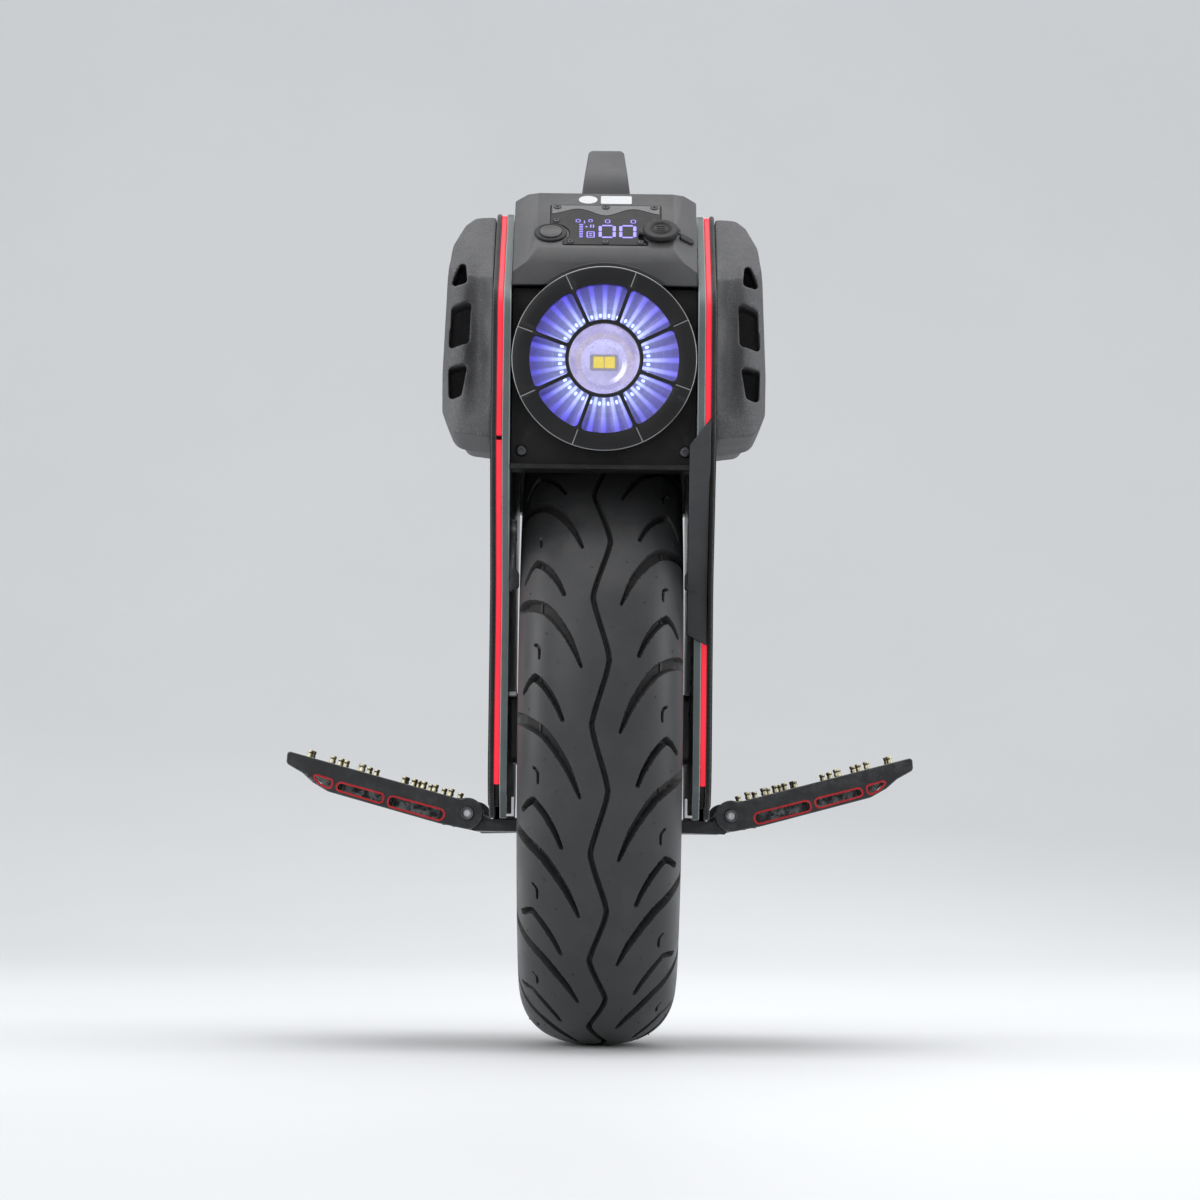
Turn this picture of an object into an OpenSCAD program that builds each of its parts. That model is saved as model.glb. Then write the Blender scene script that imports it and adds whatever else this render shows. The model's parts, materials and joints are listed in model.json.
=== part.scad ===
// Electric unicycle: one driven wheel between two legs, with folding pedals, side pads,
// a box for the batteries over the wheel, a round headlight and a carry handle.
// Ground contact is at the origin, +Z is up and -Y is the front.

/* [Wheel] */
// Outer radius of the tyre
wheel_r = 207; // [190:1:250]
// Width of the tyre at its widest
tyre_w = 103; // [85:1:108]
// Radius of the bead seat on the rim
bead_r = 127; // [116:1:136]
// Thickness of the rubber under the tread
tread_t = 9; // [6:0.5:12]
// Half width of the rim across its bead flanges
rim_half_w = 38; // [34:0.5:42]
// Radius of the axle
axle_r = 10; // [8:0.5:12]
// Outer radius of a wheel bearing
bearing_r = 23.5; // [20:0.5:28]
// Width of a wheel bearing
bearing_w = 14; // [12:0.5:16]
// Number of screws in each motor cover
cover_screw_count = 12; // [6:1:16]

/* [Body] */
// Clear width between the side plates
clear_w = 116; // [114:1:142]
// Depth of the body from its front edge to its back edge
body_d = 380; // [350:5:460]
// Thickness of a side plate
plate_t = 5; // [3:0.5:8]
// Thickness of the light strip and the core behind it
core_t = 3.5; // [2.5:0.5:6]
// Thickness of a side cover
side_cover_t = 3; // [2:0.5:5]
// Gap between the tyre and the wheel arch
arch_gap = 12; // [8:1:20]
// Height of the bottom edge of the legs below the axle
leg_drop = 60; // [50:1:75]
// Wall of the top cover
cover_wall = 2.5; // [2:0.25:4]
// Height of the handle's grip over the deck
grip_h = 53.5; // [45:0.5:80]
// Width of the handle at its foot
handle_foot_w = 36; // [30:1:44]
// Width of the handle at its top
handle_top_w = 22.5; // [18:0.5:28]

/* [Pedals] */
// Length of a pedal from front to back
pedal_l = 210; // [170:5:250]
// Reach of a pedal outwards from its hinge pin
pedal_reach = 121; // [100:1:140]
// Radius of a hinge pin
pin_r = 4; // [3:0.25:5]
// Tilt of a folded-out pedal
pedal_tilt = 15; // [5:1:20]
// Height of the studs over the deck
stud_h = 5; // [3:0.5:6]

/* [Controls] */
// Slope of the control panel
panel_slope = 40; // [35:1:45]
// Radius of the power button
button_r = 7; // [5:0.25:8]
// Travel of the power button
button_travel = 1.2; // [0.8:0.1:1.5]

/* [Hidden] */
$fn = 64;

// Clearances
seat_gap = 0.2;      // between pieces that are screwed together
side_gap = 0.3;      // between the plates and what stands between them
run_gap = 0.05;      // radial, between a shaft and its bore
bolt_gap = 0.1;      // radial, round a screw's shank

// Heights
axle_z = wheel_r;
arch_r = wheel_r + arch_gap;
arch_t = 2.5;
arch_top = axle_z + arch_r;
floor_drop = 62.5;
floor_z = arch_top - floor_drop;
floor_t = 3;
arch_half_d = sqrt(pow(arch_r, 2) - pow(arch_r - floor_drop, 2));

// Widths
half_w = clear_w / 2;
inner_half_w = half_w - side_gap;
plate_out = half_w + plate_t;
strip_out = plate_out + core_t;
cover_out = strip_out + side_cover_t;
layer_gap = 0.1;

// Headlight
head_r = half_w - 0.6;
head_z = floor_z + floor_t + 7.7 + head_r;
front_y = max(body_d / 2, arch_half_d + 36);
bezel_front_y = -front_y - 2;
bezel_t = 4.8;
window_r = head_r - 11;
ring_out_r = 24.3;
ring_in_r = 22;
housing_r = head_r - 5.4;
housing_d = 38;
housing_wall = 2;
lens_t = 2;
spoke_w = 2.2;
spoke_count = 8;
spoke_turn = 25.3;
led_count = 32;
led_chip = 6;
led_seat_r = 9.6;
tail_half_w = half_w - 10;
tail_h = 40;
tail_d = 17;

// Body outline
plate_top_z = head_z + head_r + 46;
leg_y = front_y - 45;
leg_bottom_z = axle_z - leg_drop;
deck_z = plate_top_z - 7;
ridge_z = plate_top_z + 10;
ridge_y = front_y - 65;
panel_l = 66;
panel_front_y = ridge_y + panel_l * cos(panel_slope);
panel_front_z = ridge_z - panel_l * sin(panel_slope);
visor_y = front_y - 8;
visor_z = head_z + 46.4;
facet_x = half_w - 15;
facet_angle = 29;
strip_inset = 1;
strip_w = 6;
strip_gap_z = floor_z + 17;

// Controls on the slanted panel: sideways place, and distance down the slope
control_s = 49;
button_x = -34.4;
charge_x = 34.6;
collar_r = 10.3;
collar_h = 1.1;
cap_r = 11;
cap_h = 3.4;
cap_base = 1.3;
cap_hinge_x = charge_x + 12.4;
cap_hinge_h = 2;
window_half_w = 34.7;
window_s = [15, 62];
window_t = 1;
recess_t = 1.2;
display_screw_r = 1.9;
display_screw_spots = [[-30.7, 18], [0, 18], [30.7, 18], [-31, 34], [31, 34],
    [-22, 59], [0, 59], [22, 59]];

// Motor and rim
rim_inner_r = bead_r - 23;
rim_face = 32;
cover_t = 5;
cover_screw_r = 2.5;
cover_screw_ring_r = rim_inner_r + 4;
magnet_t = 6;
air_gap = 0.8;
stator_r = rim_inner_r - magnet_t - air_gap;
stator_half_w = 16;
tooth_count = 24;
bearing_in = 23;
bearing_out = bearing_in + bearing_w;
boss_wall = 7.5;
nut_in = bearing_out + 3.5;
nut_t = 4;
block_in = nut_in + nut_t + 0.4;
axle_end = half_w + 0.4;
valve_r = 4;
valve_ring_r = bead_r - 6;

// Pedals
pin_x = cover_out + 14.5;
pin_z = leg_bottom_z + 3;
deck_w = 7.5;
ear_t = 12;
ear_r = 10;
ear_gap = 0.5;
tongue_r = 6.5;
tongue_half_l = pedal_l / 2 - ear_t - ear_gap;
hanger_t = 7.7;
hanger_in = half_w - 6;
stud_r = 2;
stud_spots = [[14, 90], [25, 78], [33.5, 56], [41, 34], [48.5, 12],
    [73, 84], [76, 50], [91, 30], [94, 66], [113, 12]];

// Motor cable, from the end of the axle to the box
cable_r = 3.4;
cable_lane = 6.2;
cable_x = plate_out - 0.4;
cable_route = [[cable_x, -4, axle_z], [cable_x, -60, axle_z + 18],
    [cable_x, -(leg_y - 28), axle_z + 42], [cable_x, -(leg_y - 12), floor_z - 90],
    [cable_x, -(leg_y - 10), floor_z - 65], [cable_x, -(leg_y + 4), floor_z - 32],
    [cable_x, -(leg_y + 14), floor_z - 8], [cable_x - 1, -(leg_y + 14), floor_z + 10],
    [cable_x - 10, -(leg_y + 10), floor_z + 24], [half_w - 14, -(leg_y + 4), floor_z + 30],
    [half_w - 22, -(leg_y - 1), floor_z + 32]];

// Side pads: sideways from the side cover, and up from the plates' top
pad_front_y = front_y - 22;
pad_back_y = 55;
pad_window_d = 38;
pad_outline = [[0.3, -3, 2], [13.5, -4, 6], [20, -10, 8], [27, -26, 8], [29.5, -50, 10],
    [32.2, -110, 10], [32, -134, 8], [26, -148, 8], [0.3, -151, 2]];
pad_rear_lift = 17;
pad_windows = [[[19.1, -33.8], [16.6, -53.8], [27.8, -56.3]], [[14.1, -63.8], [26.2, -68.7],
    [28.4, -95.2], [15.3, -91.5]], [[15.8, -104.1], [28.4, -106.7], [27.4, -127.3],
    [19.5, -125]]];

function unit(v) = v / norm(v);
function turn(a) = a > 180 ? a - 360 : a < -180 ? a + 360 : a;
function wrap(list, i) = list[(i + len(list)) % len(list)];
function flat(list) = [for (part = list) for (item = part) item];

// Points of one rounded corner p, of radius p[2], between its neighbours a and b.
function corner(a, p, b, steps) =
    let (here = [p[0], p[1]], u = unit([a[0], a[1]] - here), v = unit([b[0], b[1]] - here),
        half = acos(max(-1, min(1, u * v))) / 2,
        centre = here + unit(u + v) * p[2] / sin(half),
        start = here + u * p[2] / tan(half) - centre,
        end = here + v * p[2] / tan(half) - centre,
        first = atan2(start[1], start[0]),
        sweep = turn(atan2(end[1], end[0]) - first))
    [for (i = [0 : steps]) centre + p[2] * [cos(first + sweep * i / steps),
        sin(first + sweep * i / steps)]];
function rounded(points, steps = 6) = flat([for (i = [0 : len(points) - 1])
    corner(wrap(points, i - 1), points[i], wrap(points, i + 1), steps)]);
function both_ways(half) = concat(half,
    [for (i = [len(half) - 1 : -1 : 0]) [-half[i][0], half[i][1], half[i][2]]]);

// Catmull-Rom curve through a list of points.
function curve_point(a, b, c, d, t) = 0.5 * (2 * b + (c - a) * t
    + (2 * a - 5 * b + 4 * c - d) * t * t + (3 * b - a - 3 * c + d) * t * t * t);
function curve(p, steps) = concat(flat([for (i = [0 : len(p) - 2]) [for (k = [0 : steps - 1])
    curve_point(p[max(i - 1, 0)], p[i], p[i + 1], p[min(i + 2, len(p) - 1)], k / steps)]]),
    [p[len(p) - 1]]);

// Half of the tyre's section as [sideways, radius], from the crown to the bead.
crown_h = (wheel_r - bead_r) * 0.56;
crown_power = 2.5;
function crown(width, height, steps) = [for (i = [0 : steps]) let (a = 90 - 90 * i / steps)
    [width * pow(cos(a), 2 / crown_power), height * pow(sin(a), 2 / crown_power)]];
function tyre_side(inset) =
    let (mid = wheel_r - crown_h, half = tyre_w / 2 - inset * 0.6,
        foot = bead_r + 0.2)
    concat([for (p = crown(half, crown_h - inset, 12)) [p[0], mid + p[1]]],
        [[half - 2, mid - 14], [rim_half_w - inset * 0.6, foot + 14],
        [rim_half_w - 3.4 - inset * 0.55, foot + 8.8],
        [rim_half_w - 3.4 - inset * 0.55, foot]]);

module on_both_sides() {
    children();
    mirror([1, 0, 0]) children();
}
module front_and_back() {
    children();
    mirror([0, 1, 0]) children();
}
// Extrudes an outline drawn as [y, z] from one x to another.
module across(x0, x1) {
    translate([x0, 0, 0]) rotate([90, 0, 90]) linear_extrude(x1 - x0) children();
}
// Extrudes an outline drawn as [x, z] from one y to another.
module along(y0, y1) {
    translate([0, y1, 0]) rotate([90, 0, 0]) linear_extrude(y1 - y0) children();
}
// Turns an upright shape on to the wheel's axis, with its top to the right.
module on_axle() {
    translate([0, 0, axle_z]) rotate([0, 90, 0]) children();
}
// Stands a shape on the slanted panel, with +Z out of it and +Y up the slope.
module on_panel(x = 0, s = 0, h = 0) {
    translate([0, -ridge_y, ridge_z]) rotate([panel_slope, 0, 0]) translate([x, -s, h])
        children();
}
// A ring of full section between two radii.
module ring(r_in, r_out, x0, x1) {
    translate([0, 0, x0]) difference() {
        cylinder(r = r_out, h = x1 - x0);
        translate([0, 0, -1]) cylinder(r = r_in, h = x1 - x0 + 2);
    }
}
module round_box(size, r) {
    translate([0, 0, size[2] / 2]) linear_extrude(size[2], center = true)
        polygon(rounded([[-size[0] / 2, -size[1] / 2, r], [size[0] / 2, -size[1] / 2, r],
            [size[0] / 2, size[1] / 2, r], [-size[0] / 2, size[1] / 2, r]]));
}
// A tube of eight sides along a path that never runs along X.
module tube(path, r) {
    sides = 8;
    last = len(path) - 1;
    rings = [for (i = [0 : last]) let (
        t = unit(path[min(i + 1, last)] - path[max(i - 1, 0)]),
        n = unit(cross(t, [1, 0, 0])), b = cross(t, n))
        [for (k = [0 : sides - 1]) path[i] + r * (n * cos(360 * k / sides)
            + b * sin(360 * k / sides))]];
    skin = [for (i = [0 : last - 1]) for (k = [0 : sides - 1]) [i * sides + k,
        i * sides + (k + 1) % sides, (i + 1) * sides + (k + 1) % sides, (i + 1) * sides + k]];
    polyhedron(points = flat(rings), faces = concat(skin,
        [[for (k = [sides - 1 : -1 : 0]) k]], [[for (k = [0 : sides - 1]) last * sides + k]]));
}

// ---- wheel ----
module tyre() {
    outside = tyre_side(0);
    inside_half = tyre_side(tread_t);
    color([0.09, 0.09, 0.1]) on_axle() rotate_extrude($fn = 96) polygon([
        for (p = outside) [p[1], p[0]],
        for (i = [len(inside_half) - 1 : -1 : 0]) [inside_half[i][1], inside_half[i][0]],
        for (i = [1 : len(inside_half) - 1]) [inside_half[i][1], -inside_half[i][0]],
        for (i = [len(outside) - 1 : -1 : 1]) [outside[i][1], -outside[i][0]]]);
}
module rim_shell() {
    half = [[rim_inner_r, rim_face], [rim_inner_r + 8, rim_face],
        [bead_r - 5, rim_half_w], [bead_r + 6, rim_half_w], [bead_r + 7, rim_half_w - 1.5],
        [bead_r + 6, rim_half_w - 3], [bead_r, rim_half_w - 3], [bead_r, rim_half_w - 11],
        [bead_r - 11, rim_half_w - 18]];
    color([0.3, 0.3, 0.31]) difference() {
        on_axle() rotate_extrude($fn = 96) polygon([for (p = half) p,
            for (i = [len(half) - 1 : -1 : 0]) [half[i][0], -half[i][1]]]);
        on_both_sides() cover_bolts(cover_screw_r + bolt_gap, rim_face - 14, rim_face + 1);
        on_axle() translate([-valve_ring_r, 0, rim_half_w - 16])
            cylinder(r = valve_r + bolt_gap, h = 20);
    }
}
module cover_bolts(r, x0, x1) {
    on_axle() for (i = [0 : cover_screw_count - 1])
        rotate([0, 0, 360 * (i + 0.5) / cover_screw_count])
            translate([cover_screw_ring_r, 0, x0]) cylinder(r = r, h = x1 - x0, $fn = 24);
}
module motor_cover() {
    x0 = rim_face + layer_gap;
    color([0.25, 0.25, 0.26]) difference() {
        on_axle() union() {
            ring(bearing_r + run_gap, rim_inner_r + 7.6, x0, x0 + cover_t);
            ring(bearing_r + run_gap, bearing_r + boss_wall, bearing_in, bearing_out + 1);
        }
        cover_bolts(cover_screw_r + bolt_gap, x0 - 1, x0 + cover_t + 1);
    }
}
module motor_cover_left() mirror([1, 0, 0]) motor_cover();
module motor_cover_right() motor_cover();
module magnet_ring() {
    color([0.6, 0.6, 0.62]) on_axle()
        ring(rim_inner_r - magnet_t, rim_inner_r - layer_gap, -stator_half_w, stator_half_w);
}
module motor_cover_screws() {
    face = rim_face + layer_gap + cover_t;
    color([0.5, 0.5, 0.52]) on_both_sides() {
        cover_bolts(cover_screw_r, rim_face - 13, face + 1);
        cover_bolts(cover_screw_r + 1.6, face + layer_gap, face + 2.6);
    }
}
module valve_stem() {
    color([0.7, 0.6, 0.35]) on_axle() translate([-valve_ring_r, 0, 0]) {
        translate([0, 0, rim_half_w - 15]) cylinder(r = valve_r, h = 25);
    }
}
module wheel_bearings() {
    color([0.7, 0.7, 0.72]) on_both_sides() on_axle() difference() {
        ring(axle_r + run_gap, bearing_r, bearing_in, bearing_out);
        for (x = [bearing_in - 1, bearing_out - 1])
            ring(axle_r + 4, bearing_r - 3, x, x + 2);
    }
}

// ---- axle and motor inside ----
module axle() {
    color([0.65, 0.65, 0.67]) on_axle() difference() {
        translate([0, 0, -axle_end]) cylinder(r = axle_r, h = 2 * axle_end);
        translate([0, 0, nut_in]) cylinder(r = 4, h = 40);
    }
}
module stator_core() {
    tooth_w = 6;
    color([0.45, 0.45, 0.47]) on_axle() {
        ring(axle_r + run_gap, 30, -stator_half_w, stator_half_w);
        ring(30 - 1, 60, -5, 5);
        ring(58, 68, -stator_half_w, stator_half_w);
        intersection() {
            ring(66, stator_r, -stator_half_w, stator_half_w);
            for (i = [0 : tooth_count / 2 - 1]) rotate([0, 0, 360 * i / tooth_count])
                translate([-stator_r - 5, -tooth_w / 2, -stator_half_w])
                    cube([2 * stator_r + 10, tooth_w, 2 * stator_half_w]);
        }
    }
}
module stator_windings() {
    coil_l = 20;
    color([0.75, 0.45, 0.2]) on_axle() for (i = [0 : tooth_count - 1])
        rotate([0, 0, 360 * i / tooth_count]) translate([stator_r - 5 - coil_l, 0, 0])
            difference() {
                translate([0, -6.3, -stator_half_w - 4])
                    cube([coil_l, 12.6, 2 * stator_half_w + 8]);
                translate([-1, -3.2, -stator_half_w - 0.2])
                    cube([coil_l + 2, 6.4, 2 * stator_half_w + 0.4]);
            }
}
module axle_nuts() {
    color([0.6, 0.6, 0.62]) on_both_sides() on_axle() translate([0, 0, nut_in])
        difference() {
            cylinder(r = axle_r * 1.75, h = nut_t, $fn = 6);
            translate([0, 0, -1]) cylinder(r = axle_r + run_gap, h = nut_t + 2);
        }
}
module block_bolts(r, x0, x1) {
    for (y = [-22, 22]) for (z = [-15, 15]) translate([x0, y, axle_z + z]) rotate([0, 90, 0])
        cylinder(r = r, h = x1 - x0, $fn = 24);
}
module axle_blocks() {
    color([0.35, 0.35, 0.36]) on_both_sides() {
        difference() {
            across(block_in, half_w - layer_gap) translate([0, axle_z])
                polygon(rounded([[-30, -23, 6], [30, -23, 6], [30, 23, 6], [-30, 23, 6]]));
            translate([0, 0, axle_z]) rotate([0, 90, 0]) cylinder(r = axle_r + run_gap, h = 99);
            block_bolts(2.6, block_in + 4, plate_out);
        }
        block_bolts(2.5, block_in + 5, plate_out + 0.5);
        block_bolts(4.2, plate_out + layer_gap, plate_out + 2.8);
    }
}

// ---- body ----
side_half = [[-(leg_y - 18), leg_bottom_z, 6], [-leg_y, leg_bottom_z + 18, 10],
    [-leg_y, floor_z - 73, 30], [-front_y, floor_z + 18, 20],
    [-front_y, plate_top_z - 65, 25], [-(front_y - 85), plate_top_z, 20]];
module side_outline(inset = 0) {
    offset(delta = -inset) polygon(rounded(both_ways(side_half)));
}
// The lane that the motor cable takes through the right plate and core.
module cable_lane_cut() {
    path = [for (p = curve(cable_route, 4)) [p[1], p[2]]];
    last = len(path) - 1;
    side = [for (i = [0 : last]) let (t = unit(path[min(i + 1, last)] - path[max(i - 1, 0)]))
        cable_lane * [-t[1], t[0]]];
    polygon(concat([for (i = [0 : last]) path[i] + side[i]],
        [for (i = [last : -1 : 0]) path[i] - side[i]]));
}
module side_plate() {
    across(half_w, plate_out) difference() {
        side_outline();
        translate([0, axle_z]) circle(r = axle_r + 0.3);
        for (y = [-22, 22]) for (z = [-15, 15]) translate([y, axle_z + z]) circle(r = 2.7);
    }
}
module side_plate_left() {
    color([0.28, 0.31, 0.31]) mirror([1, 0, 0]) side_plate();
}
module side_plate_right() {
    color([0.28, 0.31, 0.31]) difference() {
        side_plate();
        across(half_w - 1, plate_out + 1) cable_lane_cut();
    }
}
module strip_2d() {
    difference() {
        side_outline(strip_inset);
        side_outline(strip_inset + strip_w);
        translate([-front_y - 9, leg_bottom_z - 9]) square([body_d + 18, 30]);
        for (y = [-1, 1]) translate([y * front_y - 30, strip_gap_z]) square([60, 3]);
        translate([-50, leg_bottom_z]) square([100, 600]);
    }
}
module light_strip() {
    across(plate_out + layer_gap, strip_out - layer_gap) strip_2d();
}
module light_strip_left() {
    color([0.92, 0.14, 0.22]) mirror([1, 0, 0]) light_strip();
}
module light_strip_right() {
    color([0.92, 0.14, 0.22]) difference() {
        light_strip();
        across(plate_out - 1, strip_out + 1) cable_lane_cut();
    }
}
module core_2d() {
    difference() {
        side_outline(strip_inset + strip_w + seat_gap);
        translate([0, axle_z]) polygon(rounded([[-30, -23, 6], [30, -23, 6], [30, 23, 6],
            [-30, 23, 6]]));
    }
}
module side_cores() {
    color([0.12, 0.12, 0.13]) {
        mirror([1, 0, 0]) across(plate_out + layer_gap, strip_out - layer_gap) core_2d();
        difference() {
            across(plate_out + layer_gap, strip_out - layer_gap) core_2d();
            across(plate_out - 1, strip_out + 1) cable_lane_cut();
        }
    }
}
module side_cover() {
    across(strip_out, cover_out) side_outline();
}
module side_cover_left() {
    color([0.07, 0.08, 0.08]) mirror([1, 0, 0]) side_cover();
}
module side_cover_right() {
    color([0.07, 0.08, 0.08]) side_cover();
}
// Curved sheet over the wheel with a flat floor in front and behind it.
module wheel_arch() {
    steps = 24;
    edge = asin((arch_r - floor_drop) / arch_r);
    flange_y = front_y - 7.5;
    under = [for (i = [0 : steps]) let (a = 180 - edge - (180 - 2 * edge) * i / steps)
        [arch_r * cos(a), axle_z + arch_r * sin(a)]];
    over = [for (i = [steps : -1 : 0]) let (a = 180 - edge - (180 - 2 * edge) * i / steps)
        [(arch_r + arch_t) * cos(a), axle_z + (arch_r + arch_t) * sin(a) + 0.6]];
    color([0.12, 0.12, 0.13]) across(-inner_half_w, inner_half_w)
        polygon(concat([[-flange_y, floor_z]], under,
            [[flange_y, floor_z], [flange_y, floor_z + floor_t],
            [arch_half_d + 3.5, floor_z + floor_t]], over,
            [[-arch_half_d - 3.5, floor_z + floor_t], [-flange_y, floor_z + floor_t]]));
}
panel_y = front_y - 18.5;
panel_t = 3;
module panel_sheet() {
    low = floor_z + floor_t + side_gap;
    translate([-inner_half_w, -panel_y, low])
        cube([2 * inner_half_w, panel_t, visor_z - side_gap - low]);
}
module panel_screw_spots() {
    for (x = [-1, 1]) translate([x * (half_w - 7), -panel_y, floor_z + floor_t + 9])
        rotate([90, 0, 0]) children();
}
module front_panel() {
    color([0.05, 0.05, 0.055]) difference() {
        panel_sheet();
        translate([0, -panel_y + 4, head_z]) rotate([90, 0, 0])
            cylinder(r = housing_r + 0.4, h = 9);
        panel_screw_spots() translate([0, 0, -5]) cylinder(r = 1.9, h = 9, $fn = 24);
    }
}
module rear_panel() {
    color([0.05, 0.05, 0.055]) mirror([0, 1, 0]) difference() {
        panel_sheet();
        translate([0, -panel_y + 4, head_z]) rotate([90, 0, 0]) cylinder(r = 5, h = 9);
        panel_screw_spots() translate([0, 0, -5]) cylinder(r = 1.9, h = 9, $fn = 24);
    }
}
module panel_screws() {
    color([0.3, 0.3, 0.3]) front_and_back() panel_screw_spots() {
        translate([0, 0, seat_gap]) cylinder(r = 3.6, h = 2);
        translate([0, 0, -6]) cylinder(r = 1.75, h = 7, $fn = 24);
    }
}
cover_half = [[-visor_y, visor_z], [-visor_y + 0.5, (visor_z + panel_front_z) / 2 + 3],
    [-panel_front_y, panel_front_z], [-ridge_y, ridge_z], [-ridge_y + 6, ridge_z],
    [-ridge_y + 13, deck_z]];
// The space inside the top cover's skin, at a depth below its outside.
module cover_space(depth, drop = 0) {
    low = [for (i = [0 : len(cover_half) - 1]) [cover_half[i][0],
        cover_half[i][1] - (i == 0 ? drop : 0)]];
    difference() {
        across(-inner_half_w + depth, inner_half_w - depth) offset(delta = -depth)
            polygon(concat(low, [for (i = [len(low) - 1 : -1 : 0]) [-low[i][0], low[i][1]]]));
        front_and_back() on_both_sides() on_panel(facet_x, 0, -depth)
            rotate([0, facet_angle, 0]) translate([0, -140, 0]) cube([90, 190, 60]);
    }
}
module top_cover() {
    color([0.28, 0.28, 0.29]) difference() {
        cover_space(0);
        cover_space(cover_wall, 20);
        front_and_back() translate([0, -front_y + 25, head_z]) rotate([90, 0, 0])
            cylinder(r = head_r + 1.5, h = 60);
        on_panel(0, 0, -recess_t) linear_extrude(9) display_2d(0.2);
        on_panel(button_x, control_s, -20) cylinder(r = collar_r - 0.8, h = 40);
        on_panel(charge_x, control_s, -20) cylinder(r = collar_r - 0.8, h = 40);
        display_screw_shanks(1.15, -9, 9);
        handle_screw_shanks(2.65, deck_z - 9, deck_z + 9);
    }
}
module display_2d(grow) {
    difference() {
        translate([-window_half_w - grow, -window_s[1] - grow])
            square([2 * (window_half_w + grow), window_s[1] - window_s[0] + 2 * grow]);
        for (x = [button_x, charge_x]) translate([x, -control_s])
            circle(r = collar_r + 1.6 - grow);
        for (x = [-1, 1]) translate([x * 33 - 6.5 + x * grow, -control_s - 30])
            square([13, 30]);
    }
}
module display_window() {
    color([0.03, 0.03, 0.035]) difference() {
        on_panel(0, 0, -window_t) linear_extrude(window_t + 0.2) display_2d(0);
        display_screw_shanks(1.15, -9, 9);
    }
}
module display_screw_shanks(r, h0, h1) {
    for (p = display_screw_spots) on_panel(p[0], p[1], h0) cylinder(r = r, h = h1 - h0, $fn = 20);
}
module display_screws() {
    color([0.15, 0.15, 0.16]) {
        display_screw_shanks(1, -2.2, 0.6);
        display_screw_shanks(display_screw_r, 0.3, 1);
    }
}
module display_module() {
    color([0.1, 0.3, 0.15]) on_panel(0, 0, -cover_wall - 6.2) translate([-20, -56, 0])
        cube([40, 36, 6]);
}
module button_ring() {
    color([0.12, 0.12, 0.13]) on_panel(button_x, control_s) difference() {
        union() {
            translate([0, 0, 0.1]) cylinder(r = collar_r, h = collar_h - 0.1);
            translate([0, 0, -10]) cylinder(r = collar_r - 1, h = 10.5);
        }
        translate([0, 0, -8.6]) cylinder(r = button_r + run_gap, h = 20);
    }
}
module power_button() {
    color([0.16, 0.16, 0.17]) on_panel(button_x, control_s, -6.5)
        cylinder(r = button_r, h = 6.5 + collar_h + button_travel - 0.7);
}
module charge_socket() {
    color([0.1, 0.1, 0.11]) on_panel(charge_x, control_s) {
        difference() {
            union() {
                translate([0, 0, 0.1]) cylinder(r = collar_r, h = 0.9);
                translate([0, 0, -15]) cylinder(r = collar_r - 1, h = 15.5);
            }
            translate([0, 0, -12.5]) cylinder(r = 7.5, h = 20);
        }
        for (i = [0 : 2]) rotate([0, 0, 120 * i + 90]) translate([3.6, 0, -13])
            cylinder(r = 1.1, h = 9, $fn = 24);
    }
}
module charge_cap() {
    color([0.08, 0.08, 0.085]) on_panel(charge_x, control_s) {
        translate([0, 0, cap_base]) cylinder(r = cap_r, h = cap_h);
        translate([0, 0, cap_base + cap_h - 0.1]) ring(5.2, 6.4, 0, 0.7);
        translate([0, 0, -1]) cylinder(r = 7, h = 3);
        translate([-14.3, -4, cap_base]) linear_extrude(2.2)
            polygon(rounded([[0, 0, 3.5], [12, 0, 1], [12, 8, 1], [0, 8, 3.5]]));
        translate([8, -3.5, cap_base]) cube([cap_hinge_x - charge_x - 8, 7, 1.6]);
    }
}
module cap_tether() {
    color([0.08, 0.08, 0.085]) on_panel(cap_hinge_x, control_s) {
        rotate([0, facet_angle, 0]) translate([0.5, -3, -1.9]) linear_extrude(1.6)
            polygon(rounded([[0, 0, 1], [10, 0, 3], [10, 6, 3], [0, 6, 1]]));
    }
}

// ---- lights ----
module at_headlight() {
    translate([0, bezel_front_y, head_z]) rotate([-90, 0, 0]) children();
}
module headlight_bezel() {
    color([0.05, 0.05, 0.055]) at_headlight() {
        ring(window_r, head_r, 0, bezel_t);
        ring(ring_in_r, ring_out_r, 0.6, bezel_t);
        for (i = [0 : spoke_count - 1]) rotate([0, 0, -spoke_turn - 360 * i / spoke_count])
            translate([ring_out_r - 0.5, -spoke_w / 2, 0.6])
                cube([window_r - ring_out_r + 1, spoke_w, bezel_t - 0.6]);
    }
}
module headlight_lens() {
    color([0.75, 0.75, 0.85, 0.5]) at_headlight()
        translate([0, 0, bezel_t + layer_gap]) cylinder(r = housing_r - housing_wall - 0.3,
            h = lens_t);
}
module headlight_housing() {
    color([0.06, 0.06, 0.065]) at_headlight() difference() {
        translate([0, 0, bezel_t + layer_gap]) cylinder(r = housing_r, h = housing_d);
        cylinder(r = housing_r - housing_wall, h = housing_d + layer_gap + bezel_t - 3);
    }
}
module headlight_reflector() {
    back = bezel_t + lens_t + 0.4;
    color([0.75, 0.75, 0.8]) at_headlight() translate([0, 0, back]) {
        rotate_extrude() polygon([[ring_in_r - 2, 0], [ring_out_r, 0], [ring_out_r, 22],
            [led_seat_r, 22], [led_seat_r, 16], [ring_in_r - 2, 3]]);
        ring(ring_out_r - 0.5, housing_r - housing_wall - 0.4, 20, 22);
    }
}
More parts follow.
